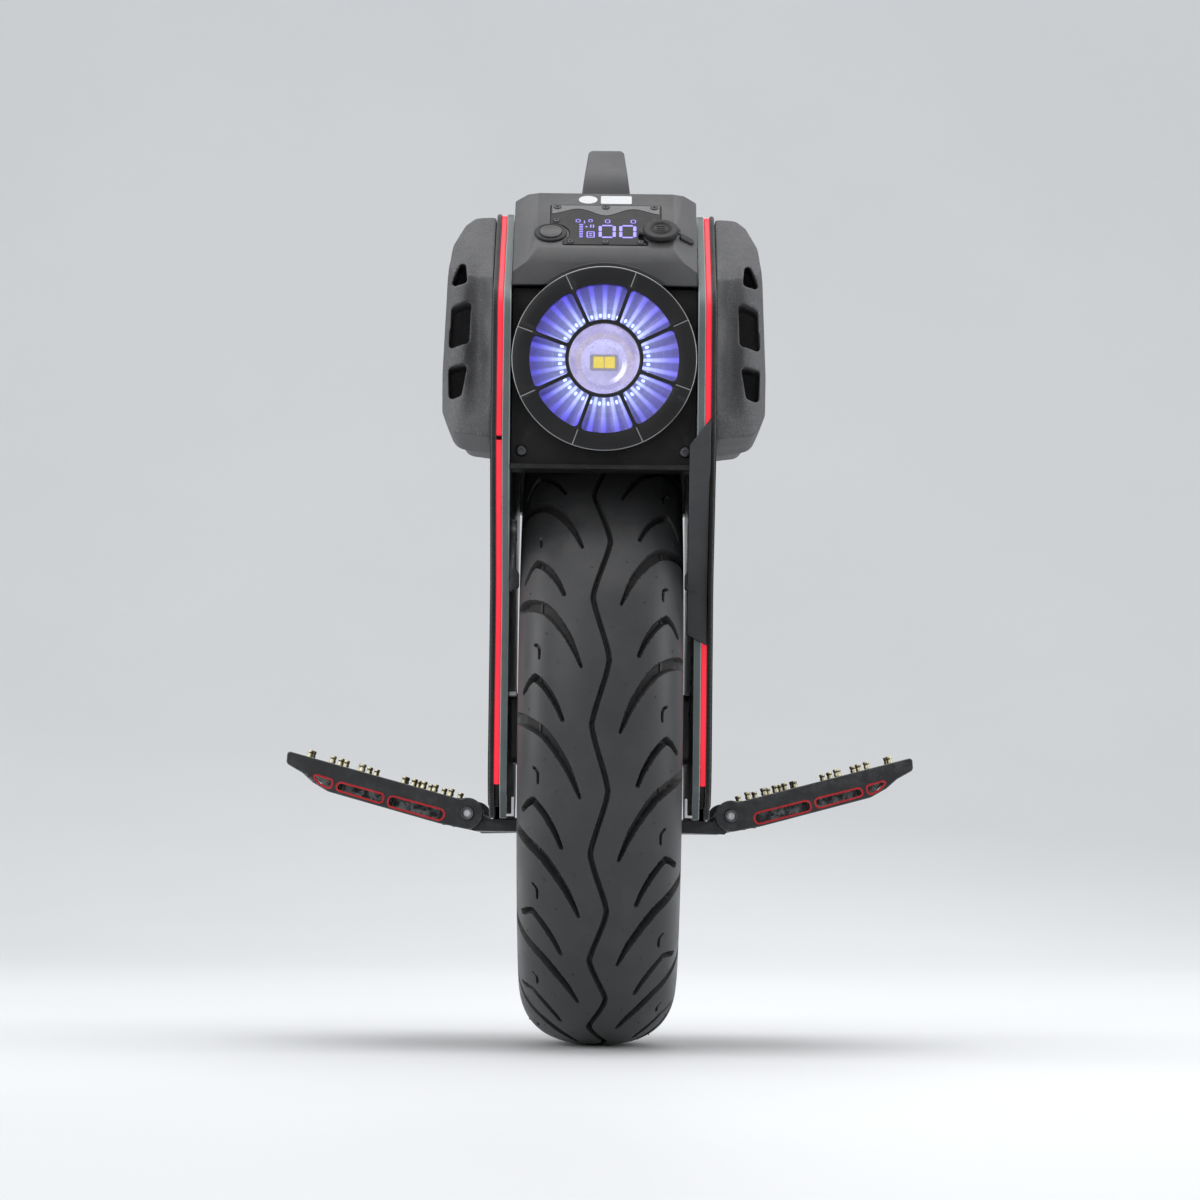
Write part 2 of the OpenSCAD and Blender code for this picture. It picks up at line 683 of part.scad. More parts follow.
module headlight_leds() {
    back = bezel_t + lens_t + 0.4;
    color([0.85, 0.8, 0.25]) at_headlight() {
        for (x = [-1, 1]) translate([x * (led_chip / 2 + 0.35) - led_chip / 2, -led_chip / 2,
            back + 18]) cube([led_chip, led_chip, 3]);
        translate([0, 0, back + 22.2]) cylinder(r = 12, h = 2);
        translate([0, 0, back + 20]) cylinder(r = led_seat_r - 0.4, h = 3);
        for (i = [0 : led_count - 1]) rotate([0, 0, 360 * i / led_count])
            translate([ring_out_r + 3.2, -0.9, back + 18.4]) cube([1.8, 1.8, 1.5]);
    }
}
module tail_light_housing() {
    color([0.06, 0.06, 0.065]) translate([0, panel_y + seat_gap, head_z])
        rotate([-90, 0, 0]) difference() {
            round_box([2 * tail_half_w, tail_h, tail_d], 12);
            translate([0, 0, 3]) round_box([2 * tail_half_w - 6, tail_h - 6, tail_d], 9);
        }
}
module tail_light_lens() {
    color([0.7, 0.06, 0.08, 0.7]) translate([0, panel_y + seat_gap + tail_d - 3, head_z])
        rotate([-90, 0, 0]) round_box([2 * tail_half_w - 6.6, tail_h - 6.6, 3.4], 8.7);
}

// ---- soft and rubber pieces on the sides ----
module pad_2d(lift) {
    polygon(rounded([for (p = pad_outline) [cover_out + p[0],
        plate_top_z + p[1] + (p[1] < -120 ? lift : 0), p[2]]], 4));
}
module pad_windows_2d() {
    for (w = pad_windows) polygon(rounded([for (p = w) [cover_out + p[0],
        plate_top_z + p[1], 2]], 3));
}
module pad(lift = 0) {
    reach = 34;
    color([0.36, 0.36, 0.37]) intersection() {
        difference() {
            along(-pad_front_y, -pad_back_y) pad_2d(lift);
            along(-pad_front_y - 1, -pad_front_y + pad_window_d) pad_windows_2d();
        }
        translate([cover_out, 0, plate_top_z - 200]) linear_extrude(300)
            polygon(rounded([[0, -pad_front_y, 1], [reach - 10, -pad_front_y + 2, 8],
                [reach, -pad_front_y + 18, 12], [reach, -pad_back_y - 20, 14],
                [reach - 14, -pad_back_y - 2, 8], [0, -pad_back_y, 1]]));
        across(cover_out - 1, cover_out + reach + 1) side_outline(1.5);
    }
}
module pad_front_left() mirror([1, 0, 0]) pad();
module pad_front_right() pad();
module pad_rear_left() mirror([1, 0, 0]) mirror([0, 1, 0]) pad(pad_rear_lift);
module pad_rear_right() mirror([0, 1, 0]) pad(pad_rear_lift);

// ---- cable ----
module cable_cover() {
    low = floor_z - 108;
    high = floor_z + 33;
    t = 3;
    gap = 0.4;
    inner = tyre_w / 2 + 2;
    color([0.09, 0.09, 0.1]) intersection() {
        across(inner, strip_out) polygon([
            [-leg_y - gap, low + 12], [-leg_y - gap - t, low],
            [-leg_y - gap - t, floor_z - 77], [-front_y - gap - t, floor_z + 13],
            [-front_y - gap - t, high], [-front_y - gap, high - 12],
            [-front_y - gap, floor_z + 14], [-leg_y - gap, floor_z - 76]]);
        along(-front_y - 9, -leg_y + 9) polygon([[inner - 1, low + 8], [strip_out + 1, low],
            [strip_out + 1, high], [inner - 1, high - 20]]);
    }
}
module motor_cable() {
    color([0.07, 0.07, 0.08]) tube(curve(cable_route, 4), cable_r);
}

// ---- inside the box ----
pack_z = arch_top + arch_t + 0.9;
pack_front_top = deck_z - 31;
pack_end_y = front_y - 47;
module battery(top) {
    w = 2 * (inner_half_w - cover_wall - side_gap);
    translate([0, -(pack_end_y + 6) / 2, pack_z])
        round_box([w, pack_end_y - 6, top - pack_z], 4);
}
module battery_front() {
    color([0.1, 0.2, 0.45]) battery(pack_front_top);
}
module battery_rear() {
    color([0.1, 0.2, 0.45]) mirror([0, 1, 0]) battery(deck_z - 16);
}
module control_board() {
    z = pack_front_top + side_gap;
    color([0.08, 0.32, 0.16]) {
        translate([-48, -112, z]) cube([96, 92, 3]);
        for (i = [0 : 5]) translate([-42 + 15 * i, -108, z]) cube([9, 12, 9]);
    }
}
module heat_sink() {
    z = pack_front_top + side_gap + 3 + side_gap;
    color([0.55, 0.55, 0.57]) {
        translate([-46, -92, z]) cube([92, 70, 4]);
        for (i = [0 : 10]) translate([-46 + 9 * i, -92, z]) cube([2, 70, 16]);
    }
}

// ---- handle ----
handle_y = ridge_y - 14;
handle_half = [[-handle_y, deck_z + seat_gap, 2], [-handle_y + 7, deck_z + 32, 25],
    [-handle_y + 36, deck_z + grip_h, 14]];
handle_gap_half = [[-handle_y + 27, deck_z - 5, 1], [-handle_y + 30, deck_z + 20, 8],
    [-handle_y + 47, deck_z + grip_h - 22, 10]];
module carry_handle() {
    top_half = handle_top_w / 2;
    foot_half = handle_foot_w / 2;
    color([0.33, 0.33, 0.34]) difference() {
        intersection() {
            across(-foot_half, foot_half) polygon(rounded(both_ways(handle_half)));
            along(-handle_y - 9, handle_y + 9) polygon(rounded([
                [-foot_half, deck_z - 1, 0.5], [foot_half, deck_z - 1, 0.5],
                [top_half, deck_z + grip_h, 4], [-top_half, deck_z + grip_h, 4]]));
        }
        across(-foot_half - 1, foot_half + 1) polygon(rounded(both_ways(handle_gap_half)));
        handle_screw_shanks(2.65, deck_z - 1, deck_z + 15);
    }
}
module handle_screw_shanks(r, z0, z1) {
    for (x = [-1, 1]) for (y = [-1, 1]) translate([x * 8, y * (handle_y - 12), z0])
        cylinder(r = r, h = z1 - z0, $fn = 24);
}
module handle_screws() {
    color([0.5, 0.5, 0.52]) {
        handle_screw_shanks(2.5, deck_z - cover_wall - 2, deck_z + 14);
        handle_screw_shanks(4.4, deck_z - cover_wall - 3, deck_z - cover_wall - layer_gap);
    }
}

// ---- pedals ----
module at_pin() {
    translate([pin_x, 0, pin_z]) rotate([0, -pedal_tilt, 0]) children();
}
module pin_bore(r) {
    translate([pin_x, pedal_l, pin_z]) rotate([90, 0, 0]) cylinder(r = r, h = 2 * pedal_l);
}
module hanger() {
    top = leg_bottom_z - side_gap;
    low = top - hanger_t;
    color([0.1, 0.1, 0.11]) difference() {
        along(-tongue_half_l, tongue_half_l) {
            translate([hanger_in, low]) square([pin_x - 4 - hanger_in, hanger_t]);
            translate([pin_x, pin_z]) circle(r = tongue_r);
            polygon([[pin_x - 12, top], [pin_x - 6, pin_z + 2.4], [pin_x, pin_z],
                [pin_x + 3.5, pin_z - 5.4], [pin_x - 4, low], [pin_x - 14, low]]);
        }
        pin_bore(pin_r + run_gap);
    }
}
module pedal_hanger_left() mirror([1, 0, 0]) hanger();
module pedal_hanger_right() hanger();
pedal_slots = [[[14.5, -2.6, 2.5], [50, -2.9, 2], [50, -8.6, 2], [14.5, -8.6, 2.5]],
    [[54.5, -3.2, 2], [84, -3.4, 2], [84, -7.6, 1.6], [54.5, -8.3, 2]],
    [[88.5, -3.2, 1.2], [101, -3, 0.6], [95.5, -6.8, 0.8], [88.5, -8.2, 1.2]]];
module pedal_body() {
    half_l = pedal_l / 2;
    reach = pedal_reach;
    color([0.1, 0.1, 0.11]) difference() {
        at_pin() difference() {
            union() {
                along(-half_l, half_l) polygon(rounded([[8.5, deck_w, 1], [reach, deck_w, 2],
                    [reach - 1.5, -0.5, 3], [reach - 13, -3.5, 5], [reach - 21, -7.6, 5],
                    [reach - 32, -10.6, 8], [24, -11, 6], [13, -11, 4], [8.5, -4.5, 2]]));
                front_and_back() along(-half_l, -half_l + ear_t) {
                    circle(r = ear_r);
                    polygon([[0, -ear_r], [16, -11], [16, deck_w], [0, deck_w]]);
                }
            }
            for (i = [0 : 2]) translate([[18, 52, 86][i], -half_l + 9, -40])
                cube([[30, 30, 27][i], pedal_l - 18, 40 + deck_w - 4]);
            front_and_back() for (slot = pedal_slots) along(-half_l - 1, -half_l + 10)
                polygon(rounded(slot));
        }
        pin_bore(pin_r + run_gap);
    }
}
module pedal_left() mirror([1, 0, 0]) pedal_body();
module pedal_right() pedal_body();
module studs() {
    color([0.78, 0.74, 0.54]) at_pin() for (p = stud_spots) for (side = [-1, 1])
        translate([p[0], side * p[1], deck_w + 0.05]) {
            cylinder(r = stud_r, h = stud_h, $fn = 24);
        }
}
module pedal_studs_left() mirror([1, 0, 0]) studs();
module pedal_studs_right() studs();
module hinge_pin() {
    color([0.6, 0.6, 0.62]) {
        translate([pin_x, pedal_l / 2 + 0.6, pin_z]) rotate([90, 0, 0])
            cylinder(r = pin_r, h = pedal_l + 1.2);
        front_and_back() translate([pin_x, -pedal_l / 2 - seat_gap, pin_z])
            rotate([90, 0, 0]) ring(pin_r - 1.5, pin_r + 1.6, 0, 1.4);
    }
}
module pedal_pin_left() mirror([1, 0, 0]) hinge_pin();
module pedal_pin_right() hinge_pin();

tyre();
rim_shell();
motor_cover_left();
motor_cover_right();
magnet_ring();
motor_cover_screws();
valve_stem();
wheel_bearings();
axle();
stator_core();
stator_windings();
axle_nuts();
axle_blocks();
side_plate_left();
side_plate_right();
wheel_arch();
front_panel();
rear_panel();
top_cover();
panel_screws();
display_window();
display_screws();
display_module();
button_ring();
charge_socket();
headlight_housing();
headlight_bezel();
headlight_lens();
headlight_reflector();
headlight_leds();
tail_light_housing();
tail_light_lens();
light_strip_left();
light_strip_right();
side_cores();
side_cover_left();
side_cover_right();
pad_front_left();
pad_front_right();
pad_rear_left();
pad_rear_right();
cable_cover();
motor_cable();
battery_front();
battery_rear();
control_board();
heat_sink();
carry_handle();
handle_screws();
pedal_hanger_left();
pedal_hanger_right();
pedal_left();
pedal_right();
pedal_studs_left();
pedal_studs_right();
pedal_pin_left();
pedal_pin_right();
power_button();
charge_cap();
cap_tether();
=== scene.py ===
"""Looks of an electric unicycle: pieces and finishes built round its fixed frame.

Every length is in metres, the wheel stands on the ground at the origin, and -Y is the front.
"""

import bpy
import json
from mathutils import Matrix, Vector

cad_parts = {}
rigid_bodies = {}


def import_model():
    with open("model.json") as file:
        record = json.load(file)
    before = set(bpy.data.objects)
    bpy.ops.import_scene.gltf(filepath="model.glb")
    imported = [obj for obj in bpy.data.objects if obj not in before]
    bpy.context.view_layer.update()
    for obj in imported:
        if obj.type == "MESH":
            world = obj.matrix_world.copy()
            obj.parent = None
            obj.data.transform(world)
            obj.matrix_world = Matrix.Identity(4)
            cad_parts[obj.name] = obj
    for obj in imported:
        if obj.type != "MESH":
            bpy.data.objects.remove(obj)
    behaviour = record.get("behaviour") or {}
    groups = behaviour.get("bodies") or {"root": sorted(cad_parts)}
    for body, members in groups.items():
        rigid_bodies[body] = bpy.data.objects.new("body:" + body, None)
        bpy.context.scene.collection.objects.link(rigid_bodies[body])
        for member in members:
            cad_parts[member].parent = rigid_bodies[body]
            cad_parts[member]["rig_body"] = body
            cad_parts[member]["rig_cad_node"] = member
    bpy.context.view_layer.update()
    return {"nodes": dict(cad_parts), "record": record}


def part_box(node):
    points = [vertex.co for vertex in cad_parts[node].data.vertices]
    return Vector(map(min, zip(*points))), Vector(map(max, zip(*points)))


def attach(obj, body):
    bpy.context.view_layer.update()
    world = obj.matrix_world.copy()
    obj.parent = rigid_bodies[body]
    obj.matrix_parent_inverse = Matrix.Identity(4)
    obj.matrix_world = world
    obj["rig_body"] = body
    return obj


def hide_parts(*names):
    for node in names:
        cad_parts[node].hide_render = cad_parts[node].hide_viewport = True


bl_info = {
    "name": "Electric Unicycle",
    "version": (1, 0, 0),
    "blender": (4, 5, 0),
    "location": "3D View > Sidebar > Unicycle",
    "description": "Builds the pieces, finishes and stage of an electric unicycle",
    "category": "Add Mesh",
}

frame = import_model()

import json
import math

import bpy
import numpy as np
from bpy.props import FloatProperty, FloatVectorProperty, IntProperty, PointerProperty
from mathutils import Matrix, Vector

MM = 0.001
TAU = 2 * math.pi

# ---- places taken from the frame ----
tyre_low, tyre_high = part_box("tyre")
WHEEL_R = (tyre_high.z - tyre_low.z) / 2
TYRE_HALF_W = tyre_high.x
AXLE = Vector((0, 0, WHEEL_R))
plate_low, plate_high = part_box("side_plate_right")
cover_low, cover_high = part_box("side_cover_right")
bezel_low, bezel_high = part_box("headlight_bezel")
LAMP_R = (bezel_high.z - bezel_low.z) / 2
LAMP_Z = (bezel_high.z + bezel_low.z) / 2
LAMP_Y = bezel_low.y
RING_IN_R = 22 * MM
RING_OUT_R = 24.3 * MM
WINDOW_R = 46.4 * MM
PAD_NODES = [name for name in frame["nodes"] if name.startswith("pad_")]
lens_low, lens_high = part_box("headlight_lens")
LENS_R = (lens_high.z - lens_low.z) / 2
top_low, top_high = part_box("top_cover")
PANEL_SLOPE = math.radians(40)
RIDGE_Y = plate_low.y + 65 * MM
RIDGE_Z = top_high.z
COVER_FOOT_Z = LAMP_Z + 47 * MM
pin_low, pin_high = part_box("pedal_pin_right")
PIN = Vector(((pin_low.x + pin_high.x) / 2, 0, (pin_low.z + pin_high.z) / 2))
PEDAL_TILT = math.radians(15)
PEDAL_HALF_L = 105 * MM
UPRIGHT = Matrix.Rotation(math.pi / 2, 4, "X")


# ---- sizes and colours that a user would change ----
class TyreLook(bpy.types.PropertyGroup):
    """Tread and rubber of the tyre"""
    pitch_count: IntProperty(name="Pitches", description="Repeats of the tread pattern",
        default=16, min=8, max=24)
    groove_depth: FloatProperty(name="Groove Depth", description="Depth of the main grooves",
        default=5.2 * MM, unit="LENGTH")
    zigzag_swing: FloatProperty(name="Zigzag Swing",
        description="Sideways swing of the centre groove", default=5.7 * MM, unit="LENGTH")
    rubber: FloatVectorProperty(name="Rubber", description="Colour of the rubber",
        default=(0.026, 0.0265, 0.028), size=3, subtype="COLOR")


class BodyLook(bpy.types.PropertyGroup):
    """Colours of the body's shells, plates and pads"""
    shell: FloatVectorProperty(name="Shell", description="Colour of the top cover and handle",
        default=(0.045, 0.045, 0.0475), size=3, subtype="COLOR")
    plate: FloatVectorProperty(name="Plate", description="Colour of the side plates",
        default=(0.1, 0.122, 0.122), size=3, subtype="COLOR")
    pad: FloatVectorProperty(name="Pad", description="Colour of the side pads",
        default=(0.1, 0.1, 0.104), size=3, subtype="COLOR")
    strip: FloatVectorProperty(name="Strip", description="Colour of the lit side strips",
        default=(0.95, 0.018, 0.045), size=3, subtype="COLOR")
    strip_glow: FloatProperty(name="Strip Glow", description="Brightness of the side strips",
        default=0.8, min=0, max=20)


class LampLook(bpy.types.PropertyGroup):
    """Light colours of the headlight"""
    glow: FloatVectorProperty(name="Glow", description="Colour of the light guide",
        default=(0.1, 0.075, 0.95), size=3, subtype="COLOR")
    spot: FloatVectorProperty(name="Spot", description="Colour next to the light sources",
        default=(0.5, 0.58, 1.0), size=3, subtype="COLOR")
    led_count: IntProperty(name="Light Sources", description="Light sources round the lamp",
        default=32, min=8, max=64)
    brightness: FloatProperty(name="Brightness", description="Brightness of the light guide",
        default=1.35, min=0, max=20)


class StageLook(bpy.types.PropertyGroup):
    """Floor, light and camera"""
    floor: FloatVectorProperty(name="Floor", description="Colour of the floor",
        default=(0.74, 0.75, 0.76), size=3, subtype="COLOR")
    camera_distance: FloatProperty(name="Camera Distance",
        description="Distance from the camera to the axle", default=2.767, unit="LENGTH")
    camera_height: FloatProperty(name="Camera Height",
        description="Height of the camera over the floor", default=0.124, unit="LENGTH")
    camera_rise: FloatProperty(name="Camera Rise", description="Upward tilt of the camera",
        default=math.radians(3.5), subtype="ANGLE")
    lens: FloatProperty(name="Lens", description="Focal length in millimetres", default=125.4)


# ---- modelling helpers ----
def mm(*points):
    """Points or sizes given in millimetres, in metres."""
    return [tuple(value * MM for value in point) for point in points]


def side_name(side):
    """The side that a sign stands for, as in the names of the pieces."""
    return "right" if side > 0 else "left"


def deselect():
    """Leaves nothing selected, in object mode."""
    if bpy.context.mode != "OBJECT":
        bpy.ops.object.mode_set(mode="OBJECT")
    bpy.ops.object.select_all(action="DESELECT")


def activate(piece):
    """Makes a piece the only selected one and the active one."""
    deselect()
    piece.select_set(True)
    bpy.context.view_layer.objects.active = piece


def added(name):
    """Names the piece that an operator has just added."""
    piece = bpy.context.active_object
    piece.name = name
    piece.data.name = name
    return piece


def settle(piece):
    """Applies a piece's place, so that its object sits at the origin."""
    activate(piece)
    bpy.ops.object.transform_apply(location=True, rotation=True, scale=True)
    return piece


def moved(piece, matrix):
    """Moves a piece's mesh by a matrix, and keeps its faces outwards when it mirrors."""
    piece.data.transform(matrix)
    if matrix.determinant() < 0:
        piece.data.flip_normals()
    piece.data.update()
    return piece


def face_outwards(piece, merge=0.0):
    """Merges corners that are nearer than a distance, and turns every face outwards."""
    activate(piece)
    bpy.ops.object.mode_set(mode="EDIT")
    bpy.ops.mesh.select_all(action="SELECT")
    if merge:
        bpy.ops.mesh.remove_doubles(threshold=merge)
    bpy.ops.mesh.normals_make_consistent(inside=False)
    bpy.ops.object.mode_set(mode="OBJECT")
    return piece


def apply_modifier(piece, kind, **settings):
    """Adds a modifier with its settings to a piece and applies it."""
    activate(piece)
    modifier = piece.modifiers.new(kind, kind)
    for key, value in settings.items():
        setattr(modifier, key, value)
    bpy.ops.object.modifier_apply(modifier=modifier.name)
    return piece


def bevelled(piece, width, segments=2, angle=32, rim=-1):
    """Rounds a piece's sharp edges; the rounded faces may take another material slot."""
    return apply_modifier(piece, "BEVEL", width=width, segments=segments, material=rim,
        limit_method="ANGLE", angle_limit=math.radians(angle), use_clamp_overlap=False,
        miter_outer="MITER_ARC", harden_normals=False)


def cut(piece, cutter):
    """Takes a cutter's shape out of a piece and removes the cutter."""
    apply_modifier(piece, "BOOLEAN", operation="DIFFERENCE", solver="EXACT", object=cutter)
    bpy.data.objects.remove(cutter)
    return piece


def joined(name, pieces):
    """Joins pieces into one object and gives it a name."""
    deselect()
    for piece in pieces:
        piece.select_set(True)
    bpy.context.view_layer.objects.active = pieces[0]
    if len(pieces) > 1:
        bpy.ops.object.join()
    return added(name)


def smooth(piece, angle=35):
    """Shades a piece smoothly, apart from edges sharper than an angle in degrees."""
    activate(piece)
    bpy.ops.object.shade_smooth_by_angle(angle=math.radians(angle))
    return piece


def copied(piece, name, matrix=None):
    """A copy of a piece with a mesh of its own, moved by a matrix where one is given."""
    twin = piece.copy()
    twin.data = piece.data.copy()
    twin.name = twin.data.name = name
    bpy.context.scene.collection.objects.link(twin)
    return moved(twin, matrix) if matrix else twin


def outline_piece(name, outline, depth):
    """A flat piece: a disc whose rim is moved on to an outline, then extruded upwards."""
    deselect()
    bpy.ops.mesh.primitive_circle_add(vertices=len(outline), fill_type="NGON")
    piece = added(name)
    for vertex, point in zip(piece.data.vertices, outline):
        vertex.co = (point[0], point[1], 0)
    bpy.ops.object.mode_set(mode="EDIT")
    bpy.ops.mesh.select_all(action="SELECT")
    bpy.ops.mesh.extrude_region_move(TRANSFORM_OT_translate={"value": (0, 0, depth)})
    bpy.ops.object.mode_set(mode="OBJECT")
    return face_outwards(piece)


def rod(name, r, depth, centre, turn=(0, 0, 0), sides=32):
    """A straight rod round its centre, along Z before it is turned."""
    deselect()
    bpy.ops.mesh.primitive_cylinder_add(radius=r, depth=depth, vertices=sides,
        location=centre, rotation=turn)
    return settle(added(name))


def block(name, low, high):
    """A square-edged block between two corners."""
    deselect()
    low, high = Vector(low), Vector(high)
    bpy.ops.mesh.primitive_cube_add(size=1, location=(low + high) / 2)
    piece = added(name)
    piece.scale = high - low
    return settle(piece)


def turned(name, profile, steps=96):
    """A lathed piece round Z: a profile of (radius, height) points, spun all the way."""
    deselect()
    bpy.ops.mesh.primitive_circle_add(vertices=len(profile), fill_type="NGON")
    piece = added(name)
    for vertex, point in zip(piece.data.vertices, profile):
        vertex.co = (point[0], 0, point[1])
    bpy.ops.object.mode_set(mode="EDIT")
    bpy.ops.mesh.select_all(action="SELECT")
    bpy.ops.mesh.delete(type="ONLY_FACE")
    bpy.ops.mesh.select_all(action="SELECT")
    bpy.ops.mesh.spin(steps=steps, angle=TAU, center=(0, 0, 0), axis=(0, 0, 1))
    bpy.ops.object.mode_set(mode="OBJECT")
    return face_outwards(piece, 0.01 * MM)


def rounded(points, steps=5):
    """Points of an outline whose corners (x, y, radius) are rounded."""
    result = []
    for i, (x, y, r) in enumerate(points):
        if not r:
            result.append((x, y))
            continue
        here = Vector((x, y))
        to_last = (Vector(points[i - 1][:2]) - here).normalized()
        to_next = (Vector(points[(i + 1) % len(points)][:2]) - here).normalized()
        half = math.acos(max(-1, min(1, to_last.dot(to_next)))) / 2
        centre = here + (to_last + to_next).normalized() * r / math.sin(half)
        start = here + to_last * r / math.tan(half) - centre
        sweep = start.angle_signed(here + to_next * r / math.tan(half) - centre)
        for k in range(steps + 1):
            angle = math.atan2(start.y, start.x) - sweep * k / steps
            result.append((centre.x + r * math.cos(angle), centre.y + r * math.sin(angle)))
    return result


def rounded_rectangle(width, height, r, steps=5):
    """Outline of a rectangle round its middle, with rounded corners."""
    x, y = width / 2, height / 2
    return rounded([(-x, -y, r), (x, -y, r), (x, y, r), (-x, y, r)], steps)


def rounded_box(name, width, height, depth, r, edge):
    """A block with round corners, standing on z = 0; every size is in millimetres."""
    outline = rounded_rectangle(width * MM, height * MM, r * MM)
    return bevelled(outline_piece(name, outline, depth * MM), edge * MM, 2)


def bare_copy(node, name):
    """A free, shown copy of a CAD node with merged corners and no material."""
    piece = copied(frame["nodes"][node], name)
    piece.parent = None
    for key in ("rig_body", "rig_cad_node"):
        del piece[key]
    piece.data.materials.clear()
    piece.hide_render = piece.hide_viewport = False
    activate(piece)
    bpy.ops.object.mode_set(mode="EDIT")
    bpy.ops.mesh.select_all(action="SELECT")
    bpy.ops.mesh.remove_doubles(threshold=0.002 * MM)
    bpy.ops.mesh.dissolve_limited(angle_limit=math.radians(0.4))
    bpy.ops.object.mode_set(mode="OBJECT")
    return face_outwards(piece)


def dressed(node, edge, name=None, segments=2, angle=32):
    """A copy of a CAD node with merged faces and rounded edges, which stands for it."""
    piece = bare_copy(node, name or node + "_shell")
    for label in ("face", "rim"):
        piece.data.materials.append(bpy.data.materials.get(label)
            or bpy.data.materials.new(label))
    bevelled(piece, edge, segments, angle, 1)
    smooth(piece, 40)
    apply_modifier(piece, "WEIGHTED_NORMAL", keep_sharp=True, weight=50)
    return fitted(piece, body_of_node(node), material_slot(node), node)


def body_of_node(node):
    """The body that a CAD node rides on."""
    return frame["nodes"][node]["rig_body"]


def material_slot(node):
    """The material slot that the record gives a CAD node."""
    rows = frame["record"]["subparts"]
    return next(row["material_slot"] for row in rows if row["node"] == node)


def fitted(piece, body, slot, *nodes):
    """Rides a finished piece on its body, in place of the CAD nodes that it stands for."""
    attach(piece, body)
    if nodes:
        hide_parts(*nodes)
    return piece


def on_panel(x, s, h=0.0):
    """Matrix of a place on the slanted control panel: sideways, down the slope, and out."""
    return (Matrix.Translation((0, RIDGE_Y, RIDGE_Z)) @ Matrix.Rotation(PANEL_SLOPE, 4, "X")
        @ Matrix.Translation((x, -s, h)))


def facing_front(x, y, z):
    """Matrix that stands an upright shape with its top to the front."""
    return Matrix.Translation((x, y, z)) @ UPRIGHT


def facing_side(x, y, z):
    """Matrix that lays an upright shape with its top to the right side."""
    return Matrix.Translation((x, y, z)) @ Matrix.Rotation(math.pi / 2, 4, "Y")


# ---- shader groups ----
def link(tree, source, target):
    """Joins two sockets."""
    tree.links.new(source, target)


def add_node(tree, kind, **settings):
    """Adds a shader node with its settings."""
    made = tree.nodes.new(kind)
    for key, value in settings.items():
        setattr(made, key, value)
    return made


def math_node(tree, operation, first, second=0.5, clamp=False):
    """Adds a Math node; each operand is a number or a socket."""
    made = add_node(tree, "ShaderNodeMath", operation=operation, use_clamp=clamp)
    for socket, value in zip(made.inputs, (first, second)):
        if isinstance(value, (int, float)):
            socket.default_value = value
        else:
            link(tree, value, socket)
    return made.outputs[0]


def ramp(tree, value, low, high, low_out=0.0, high_out=1.0):
    """Adds a smooth step of a value between two limits."""
    made = add_node(tree, "ShaderNodeMapRange", interpolation_type="SMOOTHSTEP")
    link(tree, value, made.inputs["Value"])
    made.inputs["From Min"].default_value = low
    made.inputs["From Max"].default_value = high
    made.inputs["To Min"].default_value = low_out
    made.inputs["To Max"].default_value = high_out
    return made.outputs["Result"]


def mix_color(tree, factor, first, second):
    """Mixes two colours; the factor and each colour are a value or a socket."""
    made = add_node(tree, "ShaderNodeMix", data_type="RGBA")
    for socket, value in zip((made.inputs[0], made.inputs[6], made.inputs[7]),
            (factor, first, second)):
        if isinstance(value, (int, float)):
            socket.default_value = value
        elif isinstance(value, bpy.types.NodeSocket):
            link(tree, value, socket)
        else:
            socket.default_value = (*value[:3], 1)
    return made.outputs[2]


def noise(tree, scale, detail=4.0, roughness=0.55, vector=None):
    """Adds a noise over the object's own coordinates."""
    made = add_node(tree, "ShaderNodeTexNoise")
    for name, value in (("Scale", scale), ("Detail", detail), ("Roughness", roughness)):
        if isinstance(value, (int, float)):
            made.inputs[name].default_value = value
        else:
            link(tree, value, made.inputs[name])
    link(tree, vector or object_place(tree), made.inputs["Vector"])
    return made.outputs["Fac"]


def object_place(tree):
    """Object coordinates, one node in each tree."""
    found = tree.nodes.get("place") or add_node(tree, "ShaderNodeTexCoord", name="place")
    return found.outputs["Object"]


def shader_group(name, inputs, outputs):
    """Starts a shader group with named sockets and returns its tree, inputs and outputs."""
    tree = bpy.data.node_groups.new(name, "ShaderNodeTree")
    for label, kind, value in inputs:
        socket = tree.interface.new_socket(label, in_out="INPUT", socket_type=kind)
        socket.default_value = value
    for label, kind in outputs:
        tree.interface.new_socket(label, in_out="OUTPUT", socket_type=kind)
    start = tree.nodes.new("NodeGroupInput")
    end = tree.nodes.new("NodeGroupOutput")
    return tree, start.outputs, end.inputs


FLOAT = "NodeSocketFloat"
COLOR = "NodeSocketColor"


def build_mottle_group():
    """Slow changes of tone over a moulded or painted surface."""
    tree, given, out = shader_group("mottle", [("Color", COLOR, (0.1, 0.1, 0.1, 1)),
        ("Scale", FLOAT, 30.0), ("Amount", FLOAT, 0.2)], [("Color", COLOR), ("Mask", FLOAT)])
    mask = ramp(tree, noise(tree, given["Scale"], 5, 0.6), 0.3, 0.7)
    swing = math_node(tree, "MULTIPLY", math_node(tree, "SUBTRACT", mask, 0.5), given["Amount"])
    bright = add_node(tree, "ShaderNodeHueSaturation")
    link(tree, given["Color"], bright.inputs["Color"])
    link(tree, math_node(tree, "ADD", swing, 1.0), bright.inputs["Value"])
    link(tree, bright.outputs[0], out["Color"])
    link(tree, mask, out["Mask"])


